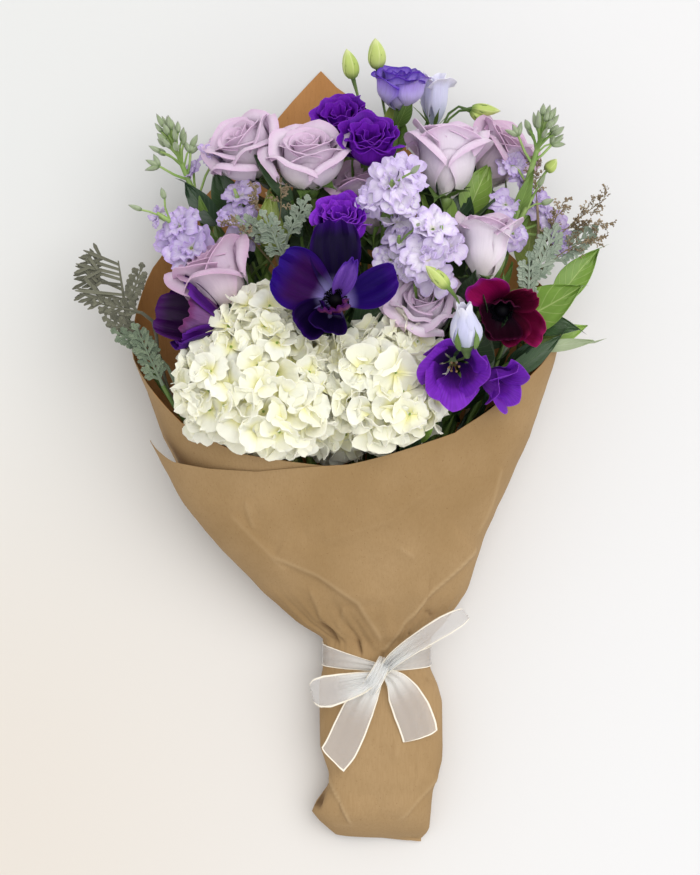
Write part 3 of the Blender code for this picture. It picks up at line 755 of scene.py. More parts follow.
def lisianthus(name, number, head, rng):
    """A lisianthus on its stem, a double cup or a trumpet, with its buds and sepals."""
    place, radius, depth = seat(*head)
    petals, colour = LISIANTHUS_FORMS[number - 1]
    bm = tissue()
    first = rng.uniform(0, math.tau)
    for index in range(petals):
        s = index / (petals - 1)
        rim = radius * lerp(0.16, 0.98, s**0.85) * rng.uniform(0.94, 1.04)
        cup_petal(
            bm, place, first + index * GOLDEN + rng.uniform(-0.2, 0.2),
            spread=lerp(1.3, 0.95, s) * (1.2 if petals < 12 else 1.0), neck=radius * 0.14,
            belly=rim * lerp(1.1, 0.9, s) + radius * 0.05, rim=rim,
            top=depth * lerp(0.94, 1.0, math.sin(math.pi * s)) * rng.uniform(0.95, 1.03),
            roll=lerp(0.3, 1.5, s) * rng.uniform(0.6, 1.2), roll_start=0.78,
            ruffle=radius * lerp(0.05, 0.11, s), waves=rng.uniform(1.8, 3.4), phase=rng.uniform(0, 6.28),
            spiral=0.12, round_off=0.12, cells=(16, 13), age=rng.random(),
        )
    for turn, reach, height in TRUMPETS.get(number, ()):
        cup_petal(
            bm, place, math.radians(turn - 90), spread=0.92, neck=radius * 0.10, belly=radius * 0.52,
            rim=radius * 0.80 * reach, top=depth * height * 0.86, roll=1.35 * reach, roll_start=0.62,
            ruffle=radius * 0.05, waves=rng.uniform(0.9, 1.7), phase=rng.uniform(0, 6.28), spiral=0.10,
            round_off=0.2, point=0.07, cells=(18, 16), age=rng.random(),
        )
    wall(bm, LEAF_WALL)
    piece(name + "_petals", bm, [lisianthus_finishes[colour]], [name])

    bm = tissue()
    curve = stem_curve(name, place)
    shoots = []
    hips = []
    for start, opening, side_head in BUDS.get(number, ()):
        side_place, side_radius, side_depth = seat(*side_head)
        bud(bm, side_place, side_radius, side_depth, rng, 4 if opening else 2, mouth=BELL_MOUTH * opening)
        start_out, lean, curl = (0.84, 1.1, 0.9) if opening else (0.45, 1.2, 0.3)
        for index in range(5):
            calyx = off_axis(side_place, index * math.tau / 5, side_radius * start_out, lean)
            blade(bm, calyx, side_radius * 0.24, side_depth * 0.55, lance, cells=(2, 5), bend=curl, age=0.7)
        shoots.append(twig_curve(curve, start, side_place))
        if opening:
            hips.append([(side_place @ Vector((0, 0, z * side_depth)), side_radius * r)
                         for z, r in ((-0.28, 0.16), (-0.12, 0.36), (-0.02, 0.62), (0.07, 0.84))])
    for index in range(5 if petals else 0):
        sepal = off_axis(place, first + index * math.tau / 5, radius * 0.16, 0.9)
        blade(bm, sepal, 1.6 * MM, depth * 0.55, lance, cells=(2, 6), bend=rng.uniform(-0.3, 0.3))
    highest = 0.95 if petals else 0.62
    for index in range(7):
        grow_leaf(bm, curve, highest - 0.06 * index, index * 1.7 + first, rng.uniform(0.4, 0.9),
                  rng.uniform(24, 42) * MM, rng.uniform(4.5, 8) * MM, rng, age=rng.uniform(0.1, 0.9))
    wall(bm, LEAF_WALL)
    grow_stem(bm, curve, radius * 0.12)
    for twig in shoots:
        grow_twig(bm, twig, [1.0] * 8 + [1.9])
    for hip in hips:
        rod(bm, [point for point, _ in hip], [r for _, r in hip], sides=10, age=0.9)
    for index in range(6 if number in TRUMPETS else 0):
        angle = index * math.tau / 6
        foot = place @ Vector((0, 0, depth * 0.1))
        tip = place @ Vector((math.cos(angle) * radius * 0.12, math.sin(angle) * radius * 0.12,
                              depth * rng.uniform(0.38, 0.5)))
        rod(bm, [foot, lerp(foot, tip, 0.85), tip], [0.4 * MM, 0.4 * MM, 1.0 * MM], sides=5, finish_index=3)
    piece(name + "_stem", bm, [green_leaf, green_stalk, bud_green, pollen, lisianthus_finishes["pale"]],
          [name])


for number, head in enumerate(LISIANTHUS, 1):
    lisianthus(f"lisianthus_{number}", number, head, Random(f"lisianthus {number}"))

# The anemones: a few broad satin petals round a black boss with a ring of dark stamens;
# the largest is indigo, one burgundy, and one, seen from its side, dark purple.
ANEMONES = (
    (-9, 98, 150, 180, 80, 42, 24),
    (112, 92, 128, 180, 68, 31, 22),
    (-97, 84, 113, -72, 22, 31, 30),
)
# Each petal: degrees clockwise from the far side, length and half width as shares of the
# flower's radius, pitch, bend, trough, sway and finish.
ANEMONE_PETALS = (
    (
        (0, 1.42, 0.43, 0.42, -0.2, 0.3, 0.0, 0), (-62, 1.28, 0.52, 0.30, 0.35, 0.35, 0.10, 1),
        (76, 1.24, 0.33, 0.28, 0.45, 0.5, -0.18, 2), (20, 0.98, 0.17, 0.62, 0.1, 1.5, 0.04, 3),
        (-124, 1.00, 0.34, 0.26, 1.0, 0.5, 0.0, 0), (172, 0.72, 0.28, 0.80, 1.5, 0.5, 0.1, 4),
        (140, 0.60, 0.22, 0.85, 1.4, 0.4, 0.0, 4), (-160, 0.86, 0.34, 0.35, 1.3, 0.5, 0.0, 0),
        (-146, 0.66, 0.26, 0.8, 1.3, 0.3, 0.0, 0),
    ),
    (
        (-28, 1.36, 0.50, 0.42, 0.5, 0.45, -0.1, 1), (46, 1.16, 0.34, 0.50, 0.4, 0.7, 0.05, 2),
        (108, 1.26, 0.40, 0.30, 0.7, 0.4, 0.1, 3), (176, 1.00, 0.44, 0.45, 1.2, 0.3, 0.0, 0),
        (-118, 0.95, 0.46, 0.55, 1.1, 0.3, 0.0, 0), (12, 0.80, 0.36, 0.75, 0.8, 0.4, 0.0, 0),
        (144, 1.05, 0.40, 0.40, 0.9, 0.4, 0.0, 2),
    ),
    (
        (178, 1.36, 0.50, 1.00, 0.4, 0.5, 0.0, 3), (-110, 1.55, 0.42, 0.98, 0.3, 0.4, 0.0, 2),
        (-58, 1.65, 0.60, 0.95, 0.2, 0.4, 0.0, 0), (30, 1.80, 0.66, 1.20, 0.1, 0.4, 0.0, 0),
        (98, 1.40, 0.56, 0.74, 0.4, 0.4, 0.0, 1), (118, 1.30, 0.40, 0.85, 0.4, 0.5, 0.1, 2),
        (-10, 1.50, 0.60, 0.90, 0.2, 0.4, 0.0, 0),
    ),
)


def satin(name, foot, body, old, rim, foot_reach=0.3, rim_reach=0.2):
    """The dark, smooth finish of an anemone's petal."""
    return petal_finish(name, foot, body, old, rim, foot_reach, rim_reach, veins=0.6, roughness=0.5,
                        glow=0.08, sheen=0.0, specular=0.14)


# The near-black finishes, indigo_black, wine_black and plum_black, are partly the petals' own dark tone and
# partly painted shade on the petals that lie in shadow.
anemone_finishes = (
    (
        satin("indigo_black_petal", (178, 168, 240), (13, 2, 40), (16, 2, 44), (38, 4, 84), 0.34),
        satin("indigo_maroon_petal", (170, 156, 236), (48, 1, 72), (42, 1, 66), (34, 4, 112), 0.34, 0.4),
        satin("indigo_petal", (176, 160, 238), (30, 4, 96), (26, 3, 84), (54, 14, 124), 0.32, 0.3),
        satin("violet_back_petal", (96, 50, 160), (128, 84, 188), (136, 92, 196), (76, 34, 150)),
        satin("maroon_pink_petal", (70, 20, 80), (116, 56, 100), (130, 70, 110), (70, 16, 90)),
    ),
    (
        satin("wine_black_petal", (10, 2, 16), (34, 4, 20), (26, 2, 16), (64, 6, 40), 0.6),
        satin("magenta_petal", (14, 2, 16), (140, 8, 78), (128, 4, 64), (134, 20, 120), 0.55, 0.2),
        satin("wine_petal", (12, 2, 14), (72, 4, 32), (64, 4, 28), (116, 14, 58), 0.7, 0.25),
        satin("wine_magenta_petal", (14, 2, 16), (106, 6, 50), (96, 4, 44), (146, 22, 84), 0.65, 0.2),
    ),
    (
        satin("plum_black_petal", (12, 2, 24), (34, 3, 48), (28, 2, 38), (58, 8, 80), 0.5),
        satin("plum_petal", (18, 2, 40), (44, 8, 86), (36, 6, 70), (70, 20, 120), 0.4),
        satin("plum_violet_petal", (30, 4, 60), (66, 14, 104), (56, 10, 90), (88, 30, 136), 0.4),
        satin("plum_mauve_petal", (84, 40, 96), (106, 68, 118), (114, 76, 126), (106, 48, 100), 0.4),
    ),
)
boss_black = stalk_finish("anemone_boss", (4, 3, 7), (10, 8, 18), roughness=0.6, specular=0.12)
ANEMONE_WALL = 0.45 * MM
STAMENS = 54
# How high up the flower its petals and its boss start, as a share of its depth.
BOSS_FOOT = 0.14


def anemone(name, number, head, rng):
    """An anemone on its stem, with its boss, its stamens and the frill below it."""
    place, radius, depth = seat(*head)
    bm = tissue()
    first = rng.uniform(0, math.tau)
    for bearing, length, half, pitch, bend, trough, sway, tone in ANEMONE_PETALS[number - 1]:
        turn = math.pi - math.radians(bearing) if number < 3 else math.radians(bearing)
        petal = off_axis(place, turn, radius * 0.06, pitch, depth * BOSS_FOOT)
        blade(bm, petal, radius * half, radius * length, spoon, cells=(14, 16), bend=bend, trough=trough,
              ruffle=radius * 0.05, waves=rng.uniform(2.0, 4.2), phase=rng.uniform(0, 6), round_off=0.07,
              sway=sway, notch=0.04, age=rng.random(), finish_index=tone)
    wall(bm, ANEMONE_WALL)
    piece(name + "_petals", bm, anemone_finishes[number - 1], [name])

    bm = tissue()
    curve = stem_curve(name, place)
    for index in range(7):
        frill = off_axis(place, first + index * math.tau / 7, 1.5 * MM, 0.3, -14 * MM)
        blade(bm, frill, 3.2 * MM, rng.uniform(16, 24) * MM, lance, cells=(4, 6), bend=-0.5,
              ruffle=1.2 * MM, waves=5, age=0.4)
    for index in range(6):
        grow_leaf(bm, curve, 0.74 - 0.05 * index, index * GOLDEN, rng.uniform(0.5, 1.0),
                  rng.uniform(34, 48) * MM, rng.uniform(11, 15) * MM, rng, finish_index=3,
                  age=rng.uniform(0, 0.7))
    wall(bm, LEAF_WALL)
    grow_stem(bm, curve, 2.2 * MM)
    floor = depth * BOSS_FOOT
    boss = [place @ Vector((0, 0, floor + z * MM)) for z in (0, 3, 6, 8.2, 9.4)]
    rod(bm, boss, [r * MM for r in (3.0, 5.0, 5.2, 3.6, 1.2)], sides=14, finish_index=2)
    for index in range(STAMENS):
        angle = index * GOLDEN
        out = rng.uniform(6.5, 9.5) * MM
        foot = place @ Vector((math.cos(angle) * 3 * MM, math.sin(angle) * 3 * MM, floor + 1 * MM))
        tip = place @ Vector((math.cos(angle) * out, math.sin(angle) * out, floor + rng.uniform(5, 8) * MM))
        rod(bm, [foot, lerp(foot, tip, 0.82), tip], [0.3 * MM, 0.3 * MM, 0.9 * MM], sides=5, finish_index=2)
    piece(name + "_stem", bm, [green_leaf, green_stalk, boss_black, rose_leaf], [name])


for number, head in enumerate(ANEMONES, 1):
    anemone(f"anemone_{number}", number, head, Random(f"anemone {number}"))

# The hydrangeas: two lobed heads of creamy four-petalled florets, packed edge over edge and
# crumpled against each other, each on a fine green pedicel.
HYDRANGEAS = ((-67, 42, 124, -25, 73, 57, 66), (28, 38, 124, 15, 72, 41, 56))
# The lobes of each head, as places like the heads', with the number of florets.
LOBES = (
    (((-67, 42, 124, -25, 73, 57, 66), 108), ((-62, 84, 122, -8, 60, 24, 38), 22),
     ((-12, 10, 100, 170, 80, 26, 34), 22)),
    (((26, 40, 124, 15, 72, 42, 56), 72), ((40, 66, 118, 30, 60, 20, 30), 14),
     ((26, 16, 104, 170, 76, 26, 34), 20)),
)
# The lip of the paper in plan: florets that come within TUCK of it, in millimetres, sit low,
# tucked behind the paper.
LIP = ((-170, 60), (-140, 36), (-112, 8), (-88, -3), (-66, -10), (-37, -20), (-25, -20), (35, -8),
       (78, 6), (120, 30))
TUCK = 20
# No floret reaches into the violet trumpet beside them, or through the inner layer of the
# paper, which stands up behind the lip on the left.
INNER_LIP_END = desk.x - 40 * MM
TRUMPET_SPOT = desk + Vector((78, 48, 136)) * MM
TRUMPET_ROOM = 41 * MM
cream_petals = petal_finish("cream_petal", (248, 243, 164), (254, 252, 222), (255, 254, 238), (255, 253, 234),
                            0.6, 0.2, veins=0.06, glow=0.45, roughness=0.6, sheen=0.0, depth=0.004)
pedicel_green = stalk_finish("pedicel_green", (168, 180, 96), (206, 212, 140))


def between(rows, value):
    """The row of a table at any value, from the two nearest."""
    for low, high in zip(rows, rows[1:]):
        if value <= high[0]:
            break
    share = min(1.0, max(0.0, (value - low[0]) / (high[0] - low[0])))
    return [lerp(a, b, share) for a, b in zip(low, high)]


def spread_way(angle, lean):
    """The unit vector at an angle round Z that leans off it."""
    return Vector((math.sin(lean) * math.cos(angle), math.sin(lean) * math.sin(angle), math.cos(lean)))


def floret(bm, centre, facing, rng):
    """Four crumpled sepals round a centre."""
    place = standing(centre, facing) @ Matrix.Rotation(rng.uniform(0, math.tau), 4, "Z")
    size = rng.uniform(14, 19.5) * MM
    age = rng.random()
    lift = rng.uniform(0.0, 0.6)
    for side in range(4):
        sepal = off_axis(place, side * math.pi / 2 + rng.uniform(-0.15, 0.15), 0.4 * MM,
                         lift + rng.uniform(-0.35, 0.35), 0.3 * MM * (side % 2))
        blade(bm, sepal, size * 0.6, size * rng.uniform(0.85, 1.1), fan, cells=(6, 5),
              bend=rng.uniform(-1.3, 0.9), trough=rng.uniform(-0.7, 0.7),
              ruffle=rng.uniform(0.9, 2.4) * MM, waves=rng.uniform(1.8, 3.8), phase=rng.uniform(0, 6),
              round_off=0.18, age=min(1, max(0, age + rng.uniform(-0.2, 0.2))))


def hydrangea(name, head, lobes, rng):
    """A hydrangea head: florets spread evenly over its lobes, on pedicels from its heart."""
    place, radius, depth = seat(*head)
    bm = tissue()
    pedicels = []
    heart = place @ Vector((0, 0, depth * 0.12))
    for lobe, count in lobes:
        lobe_place, lobe_radius, lobe_depth = seat(*lobe)
        for index in range(count):
            polar = math.acos(1 - (index + 0.5) / count * 1.6)
            out = spread_way(index * GOLDEN, polar)
            spot = Vector((out.x * lobe_radius * 0.93, out.y * lobe_radius * 0.93,
                           lobe_depth * (0.47 + 0.47 * out.z)))
            spot += out * rng.uniform(-6, 3) * MM
            facing = Vector((out.x / lobe_radius, out.y / lobe_radius, out.z / lobe_depth * 2))
            facing = (lobe_place.to_3x3() @ facing).normalized()
            facing = (facing + Vector([rng.uniform(-0.4, 0.4) for _ in range(3)])).normalized()
            centre = lobe_place @ spot
            over_lip = (centre.y - desk.y) / MM - between(LIP, (centre.x - desk.x) / MM)[1]
            tucked = max(0.0, TUCK - over_lip)
            centre += Vector((0, 0.3, -1.5)) * tucked * MM
            beside = (centre - TRUMPET_SPOT).xy.length < TRUMPET_ROOM and centre.z > TRUMPET_SPOT.z
            if beside or (over_lip < -1 and centre.x < INNER_LIP_END):
                continue
            facing = (facing + Vector((0, 0.03, 0.02)) * tucked).normalized()
            pedicels.append(centre)
            floret(bm, centre, facing, rng)
    wall(bm, LEAF_WALL)
    piece(name + "_florets", bm, [cream_petals], [name])

    bm = tissue()
    curve = stem_curve(name, place)
    for index in range(5):
        grow_leaf(bm, curve, 0.94 - 0.05 * index, index * 2.2, 0.9, 60 * MM, 22 * MM, rng, age=0.3)
    wall(bm, LEAF_WALL)
    grow_stem(bm, curve, radius * 0.06)
    for centre in pedicels:
        rod(bm, [heart, centre], [0.9 * MM, 0.6 * MM], sides=5)
        inward = (heart - centre).normalized()
        rod(bm, [centre + inward * 0.5 * MM, centre - inward * 1.0 * MM, centre - inward * 2.0 * MM],
            [0.8 * MM, 1.1 * MM, 0.5 * MM], sides=6, finish_index=2)
    piece(name + "_stem", bm, [green_leaf, pedicel_green, bud_green], [name])


for number, (head, lobes) in enumerate(zip(HYDRANGEAS, LOBES), 1):
    hydrangea(f"hydrangea_{number}", head, lobes, Random(f"hydrangea {number}"))

# The stock: spikes of crinkled pale lilac florets, two of which end in clusters of downy
# grey-green buds on short stalks.
STOCKS = (
    (-123, 200, 70, -22, 12, 12, 58),
    (-128, 158, 92, -58, 28, 14, 40),
    (-80, 172, 92, -20, 40, 12, 36),
    (30, 176, 134, 10, 55, 17, 34),
    (66, 138, 140, 4, 30, 16, 36),
    (36, 134, 124, 4, 50, 13, 40),
    (138, 207, 100, 16, 14, 11, 50),
    (130, 166, 92, 28, 20, 11, 38),
)
# Each spike's florets: x, y, z, turn, lift and size.
STOCK_FLORETS = (
    ((-101, 209, 76, 20, 40, 13), (-117, 202, 68, -60, 30, 8)),
    ((-125, 157, 94, -50, 50, 15), (-116, 140, 102, -30, 62, 18), (-131, 145, 88, -80, 40, 13),
     (-142, 165, 88, -80, 20, 8)),
    ((-80, 181, 94, -10, 50, 13), (-82, 164, 96, -20, 60, 14), (-74, 152, 90, 0, 60, 12)),
    ((31, 182, 138, -40, 62, 18), (44, 191, 132, 40, 52, 15), (20, 172, 132, -60, 50, 13),
     (41, 172, 136, 70, 60, 13)),
    ((61, 150, 142, -10, 55, 16), (57, 129, 144, -20, 72, 17), (72, 138, 136, 40, 55, 14),
     (63, 116, 136, 0, 75, 14)),
    ((40, 146, 126, 0, 52, 14), (46, 130, 130, 20, 72, 15), (31, 130, 120, -60, 60, 12),
     (36, 158, 122, -20, 40, 12)),
    ((122, 204, 86, 30, 60, 10), (130, 192, 84, 60, 40, 9)),
    ((117, 173, 94, 20, 50, 12), (122, 151, 96, 40, 60, 12), (141, 175, 84, 50, 40, 12),
     (153, 160, 84, 60, 50, 11), (158, 146, 86, 80, 60, 10)),
)
# How many buds each spike ends in, which spikes carry side clusters of them, the one that
# carries a single fat bud, and the paler spikes.
STOCK_BUDS = (22, 2, 0, 1, 0, 1, 20, 3)
CLUSTERED = (1, 7)
FAT_BUD = 8
PALE_STOCKS = (4, 5, 6)
# A rosette's whorls: the number of petals, their length and their pitch.
WHORLS = ((4, 1.0, 0.1), (4, 0.82, 0.6), (3, 0.5, 1.05))
STOCK_WALL = 0.35 * MM
lilac_petals = petal_finish("lilac_petal", (232, 232, 206), (222, 206, 242), (244, 236, 250), (212, 192, 240),
                            0.3, 0.3, veins=0.25, glow=0.4, sheen=0.05)
deep_lilac_petals = petal_finish("deep_lilac_petal", (214, 212, 200), (202, 184, 228), (222, 208, 238),
                                 (186, 162, 220), 0.3, 0.3, glow=0.4, sheen=0.05)
downy_bud = petal_finish("downy_bud", (110, 134, 82), (146, 164, 122), (166, 180, 146), (150, 150, 140),
                         0.3, 0.2, sheen=0.3)
fresh_stalk = stalk_finish("fresh_stalk", (112, 146, 66), (158, 182, 110))


def rosette(bm, place, size, rng):
    """A double floret: two whorls of crumpled petals and a tight heart."""
    age = rng.random()
    for count, length, pitch in WHORLS:
        first = rng.uniform(0, math.tau)
        for index in range(count):
            petal = off_axis(place, first + index * math.tau / count + rng.uniform(-0.2, 0.2), size * 0.06,
                             pitch + rng.uniform(-0.3, 0.35))
            blade(bm, petal, size * length * rng.uniform(0.5, 0.68), size * length, fan, cells=(8, 7),
                  bend=rng.uniform(-1.5, 0.8), trough=rng.uniform(-0.4, 0.5),
                  ruffle=size * rng.uniform(0.07, 0.14), waves=rng.uniform(1.6, 3.2),
                  phase=rng.uniform(0, 6), round_off=0.14, notch=0.14,
                  age=min(1, max(0, age + rng.uniform(-0.4, 0.4))))


def stock(name, number, head, rng):
    """A spike of stock: its rosettes, its buds and its stalks."""
    place, radius, depth = seat(*head)
    bm = tissue()
    stalks = []
    for x, y, z, turn, lift, size in STOCK_FLORETS[number - 1]:
        facing = heading(turn, lift)
        centre = desk + Vector((x, y, z)) * MM
        rosette(bm, standing(centre, facing), size * 1.12 * MM, rng)
        stalks.append((place @ Vector((0, 0, depth * 0.1)), centre, 1.0 * MM))
    wall(bm, STOCK_WALL)
    lilac = lilac_petals if number in PALE_STOCKS else deep_lilac_petals
    piece(name + "_florets", bm, [lilac], [name])

    bm = tissue()
    curve = stem_curve(name, place)
    buds = STOCK_BUDS[number - 1]
    for index in range(buds):
        share = (index + 0.5) / buds
        out = spread_way(index * GOLDEN, lerp(1.15, 0.15, share))
        root = place @ Vector((0, 0, depth * lerp(0.55, 0.9, share)))
        spot = Vector((0, 0, depth * lerp(0.68, 0.92, share))) + out * radius * rng.uniform(0.8, 1.25)
        spot = place @ spot
        facing = (place.to_3x3() @ (out + Vector((0, 0, 0.35)))).normalized()
        bud(bm, standing(spot, facing), rng.uniform(1.6, 2.3) * MM, rng.uniform(8, 12) * MM, rng, 2,
            wraps=4)
        stalks.append((root, spot, 0.8 * MM))
    for index in range(5):
        grow_leaf(bm, curve, 0.92 - 0.07 * index, index * GOLDEN, rng.uniform(0.35, 0.6),
                  rng.uniform(26, 44) * MM, rng.uniform(3.5, 5.5) * MM, rng, age=0.9)
    wall(bm, LEAF_WALL)
    grow_stem(bm, curve, STEM_RADIUS)
    rod(bm, [place.translation, place @ Vector((0, 0, depth * 0.6)), place @ Vector((0, 0, depth * 0.95))],
        [2.4 * MM, 2.0 * MM, 1.2 * MM], sides=8)
    for foot, centre, thick in stalks:
        bow = lerp(foot, centre, 0.55) + facing_of(place) * 2 * MM
        rod(bm, [foot, bow, centre], [thick] * 3, sides=5)
    for lean, share, length in ((-0.75, 0.40, 24), (0.55, 0.45, 18)) if number in CLUSTERED else ():
        root = place @ Vector((0, 0, depth * share))
        way = (place @ Matrix.Rotation(lean, 4, "Y")).to_3x3() @ UP
        tip = root + way * length * MM
        rod(bm, [root, lerp(root, tip, 0.5) + facing_of(place) * -1.5 * MM, tip],
            [1.2 * MM, 1.0 * MM, 0.9 * MM], sides=6)
        for spin in (-0.7, 0.0, 0.7):
            tilted = (framed(tip, way) @ Matrix.Rotation(spin, 4, "Z")).to_3x3() @ Vector((0, 1, 0))
            bud(bm, standing(tip, tilted), 2.0 * MM, rng.uniform(9, 12) * MM, rng, 2, wraps=4)
    if number == FAT_BUD:
        side_place = seat(153, 205, 76, 40, 10, 4, 12)[0]
        grow_twig(bm, twig_curve(curve, 0.75, side_place), [1.8] * 5 + [1.2, 1.0])
        bud(bm, side_place, 4.2 * MM, 12 * MM, rng, 3)
    piece(name + "_stem", bm, [green_leaf, fresh_stalk, downy_bud, bud_green], [name])


for number, head in enumerate(STOCKS, 1):
    stock(f"stock_{number}", number, head, Random(f"stock {number}"))

# The dusty miller: felted silver leaves, cut to the midrib into blunt fingers that are
# themselves lobed.
DUSTY_MILLERS = (
    (-170, 114, 78, -8, 6, 33, 38),
    (-147, 59, 98, -24, 16, 11, 46),
    (-54, 146, 112, -24, 34, 11, 38),
    (144, 132, 97, 24, 14, 12, 44),
)
# The side shoots: where each leaves the stem, and the place of its leaf.
DUSTY_SHOOTS = {
    1: ((0.72, (-161, 110, 82, 20, 16, 8, 36)), (0.7, (-171, 97, 84, -78, 12, 9, 34)),
        (0.66, (-166, 82, 86, -66, 10, 8, 30))),
    2: ((0.75, (-158, 70, 92, -60, 10, 8, 34)),),
    3: ((0.75, (-38, 160, 114, 30, 34, 9, 34)), (0.7, (-66, 152, 108, -60, 24, 9, 30))),
    4: ((0.75, (166, 142, 86, 52, 12, 11, 40)), (0.7, (134, 116, 96, 0, 14, 10, 34))),
}
silver_leaves = [leaf_finish("silver_leaf_" + shade, *greys, roughness=0.9, ribs=3.0, sheen=0.2)
                 for shade, greys in (
                     ("dark", ((84, 84, 70), (116, 116, 98), (140, 140, 122))),
                     ("green", ((94, 110, 90), (124, 138, 114), (150, 160, 136))),
                     ("light", ((130, 146, 128), (160, 172, 154), (184, 194, 178))))]
FINGER = 1.25 * MM
FELT_WALL = 0.7 * MM
# Fingers stand this far apart on a leaf with one side, and on a whole one.
FINGER_GAPS = (5.0 * MM, 6.5 * MM)
# A finger's own lobes, itself first: where on it, their length and how they are turned.
FINGER_LOBES = ((0.0, 1.0, 0.0), (0.42, 0.45, 0.7), (0.5, 0.42, -0.7), (0.68, 0.36, 0.6))


def dusty_leaf(bm, place, half, length, rng, sides=(-1, 1), splay=(0.5, 0.85)):
    """A felted leaf from its place along its Z: a midrib, and fingers splayed off its sides."""
    flat = place @ Matrix.Rotation(math.pi / 2, 4, "X")
    pairs = max(4, round(length / FINGER_GAPS[len(sides) - 1]))
    droop = rng.uniform(-0.5, 0.1)

    def at(share):
        return flat @ Vector((0, length * share, length * droop * share * share * 0.35))

    for index in range(pairs + 1):
        share = 0.12 + 0.80 * index / pairs
        reach = half * 1.15 * math.sin(math.pi * (0.3 + 0.5 * share)) ** 0.7
        for side in (sides if index < pairs or len(sides) == 1 else (0,)):
            turned = -side * rng.uniform(*splay)
            root = Matrix.Translation(at(share) - flat.translation) @ flat
            lift = rng.uniform(-0.15, 0.3)
            for offset, scale, spin in FINGER_LOBES:
                finger = (root @ Matrix.Rotation(turned, 4, "Z") @ Matrix.Rotation(lift, 4, "X")
                          @ Matrix.Translation((0, reach * offset, 0)) @ Matrix.Rotation(spin, 4, "Z"))
                blade(bm, finger, FINGER, reach * scale, club, cells=(4, 6),
                      bend=rng.uniform(-0.4, 0.4), trough=0.35, round_off=0.1, age=rng.random())
    return [at(step / 6) for step in range(7)]


def dusty_miller(name, number, head, rng):
    """A stem of dusty miller: its leaf, the first one's seen from its edge, and its shoots'."""
    bm = tissue()
    place, half, length = seat(*head)
    curve = stem_curve(name, place)
    edge_on = {"sides": (-1,), "splay": (0.85, 1.45)} if number == 1 else {}
    ribs = [dusty_leaf(bm, place, half, length, rng, **edge_on)]
    twigs = []
    for start, side_head in DUSTY_SHOOTS.get(number, ()):
        side_place, side_half, side_length = seat(*side_head)
        ribs.append(dusty_leaf(bm, side_place, side_half, side_length, rng))
        twigs.append(twig_curve(curve, start, side_place))
    wall(bm, FELT_WALL)
    grow_stem(bm, curve, 1.6 * MM)
    for rib in ribs:
        rod(bm, rib, [lerp(1.3, 0.5, step / 6) * MM for step in range(7)], sides=6, finish_index=0)
    for twig in twigs:
        grow_twig(bm, twig, [1.3] * 6, finish_index=0)
    piece(name + "_leaves", bm, [silver_leaves[min(number, 3) - 1], green_stalk], [name])


for number, head in enumerate(DUSTY_MILLERS, 1):
    dusty_miller(f"dusty_miller_{number}", number, head, Random(f"dusty miller {number}"))

# The sea lavender: dry brown sprays that branch and branch again, beaded with tiny buds,
# each on a wiry stem of its own between the other flowers.
SEA_LAVENDERS = (
    ((172, 164, 94, 48, 8, 5, 34),
     ((0.82, (172, 158, 92, 76, 8, 4, 28)), (0.72, (168, 144, 92, 54, 12, 4, 30)),
      (0.62, (152, 158, 94, 26, 30, 4, 30)))),
    ((138, 188, 98, -10, 8, 5, 26), ()),
    ((-66, 168, 114, -22, 44, 5, 30),
     ((0.8, (-48, 176, 116, 10, 30, 4, 30)), (0.75, (-74, 150, 112, -40, 50, 4, 28)))),
)
# The buds on a spray's branch, its side branches and their own.
BUDS_BY_LEVEL = (14, 3, 3)
SIDE_BRANCHES = 9
sea_lavender_brown = stalk_finish("sea_lavender", (104, 94, 62), (138, 126, 90), roughness=0.8)
sea_lavender_bud = stalk_finish("sea_lavender_bud", (112, 96, 72), (170, 152, 126), roughness=0.85)


def spray(bm, start, way, length, level, rng):
    """A wiry branch with short side branches, and beads of buds along all of them."""
    bow = Vector([rng.uniform(-0.25, 0.25) for _ in range(3)])
    points = []
    for step in range(5):
        share = step / 4
        points.append(start + (way + bow * share).normalized() * length * share)
    thin = 1 + 0.7 * level
    rod(bm, points, [lerp(0.45, 0.2, step / 4) * MM / thin for step in range(5)], sides=4, finish_index=0)

    def at(share):
        first = min(3, int(share * 4))
        return lerp(points[first], points[first + 1], share * 4 - first)

    for index in range(SIDE_BRANCHES if level < 2 else 0):
        side = Vector([rng.uniform(-1, 1) for _ in range(3)])
        side.z *= 0.5
        branch = length * (rng.uniform(0.3, 0.5) if level else rng.uniform(0.14, 0.30))
        side_way = (way + side.normalized() * 0.9).normalized()
        spray(bm, at(lerp(0.2, 0.95, index / (SIDE_BRANCHES - 1))), side_way, branch, level + 1, rng)
    for index in range(BUDS_BY_LEVEL[level]):
        spot = at(rng.uniform(0.2, 1.0)) + Vector([rng.uniform(-0.6, 0.6) * MM for _ in range(3)])
        made = bmesh.ops.create_icosphere(bm, subdivisions=1, radius=rng.uniform(0.4, 0.8) * MM,
                                          matrix=Matrix.Translation(spot))
        dress(bm, made["verts"], rng.random(), 1)


def sea_lavender(name, head, shoots, rng):
    """A stem of sea lavender: a spray at its end, and one on each side shoot."""
    bm = tissue()
    place, _, depth = seat(*head)
    curve = stem_curve(name, place)
    grow_stem(bm, curve, 0.9 * MM)
    spray(bm, place.translation, facing_of(place), depth * 1.2, 0, rng)
    for start, side_head in shoots:
        side_place, _, side_depth = seat(*side_head)
        grow_twig(bm, twig_curve(curve, start, side_place), [0.8] * 6, sides=5, finish_index=0)
        spray(bm, side_place.translation, facing_of(side_place), side_depth * 1.15, 0, rng)
    piece(name + "_spray", bm, [sea_lavender_brown, sea_lavender_bud], [name])


for number, (head, shoots) in enumerate(SEA_LAVENDERS, 1):
    sea_lavender(f"sea_lavender_{number}", head, shoots, Random(f"sea lavender {number}"))
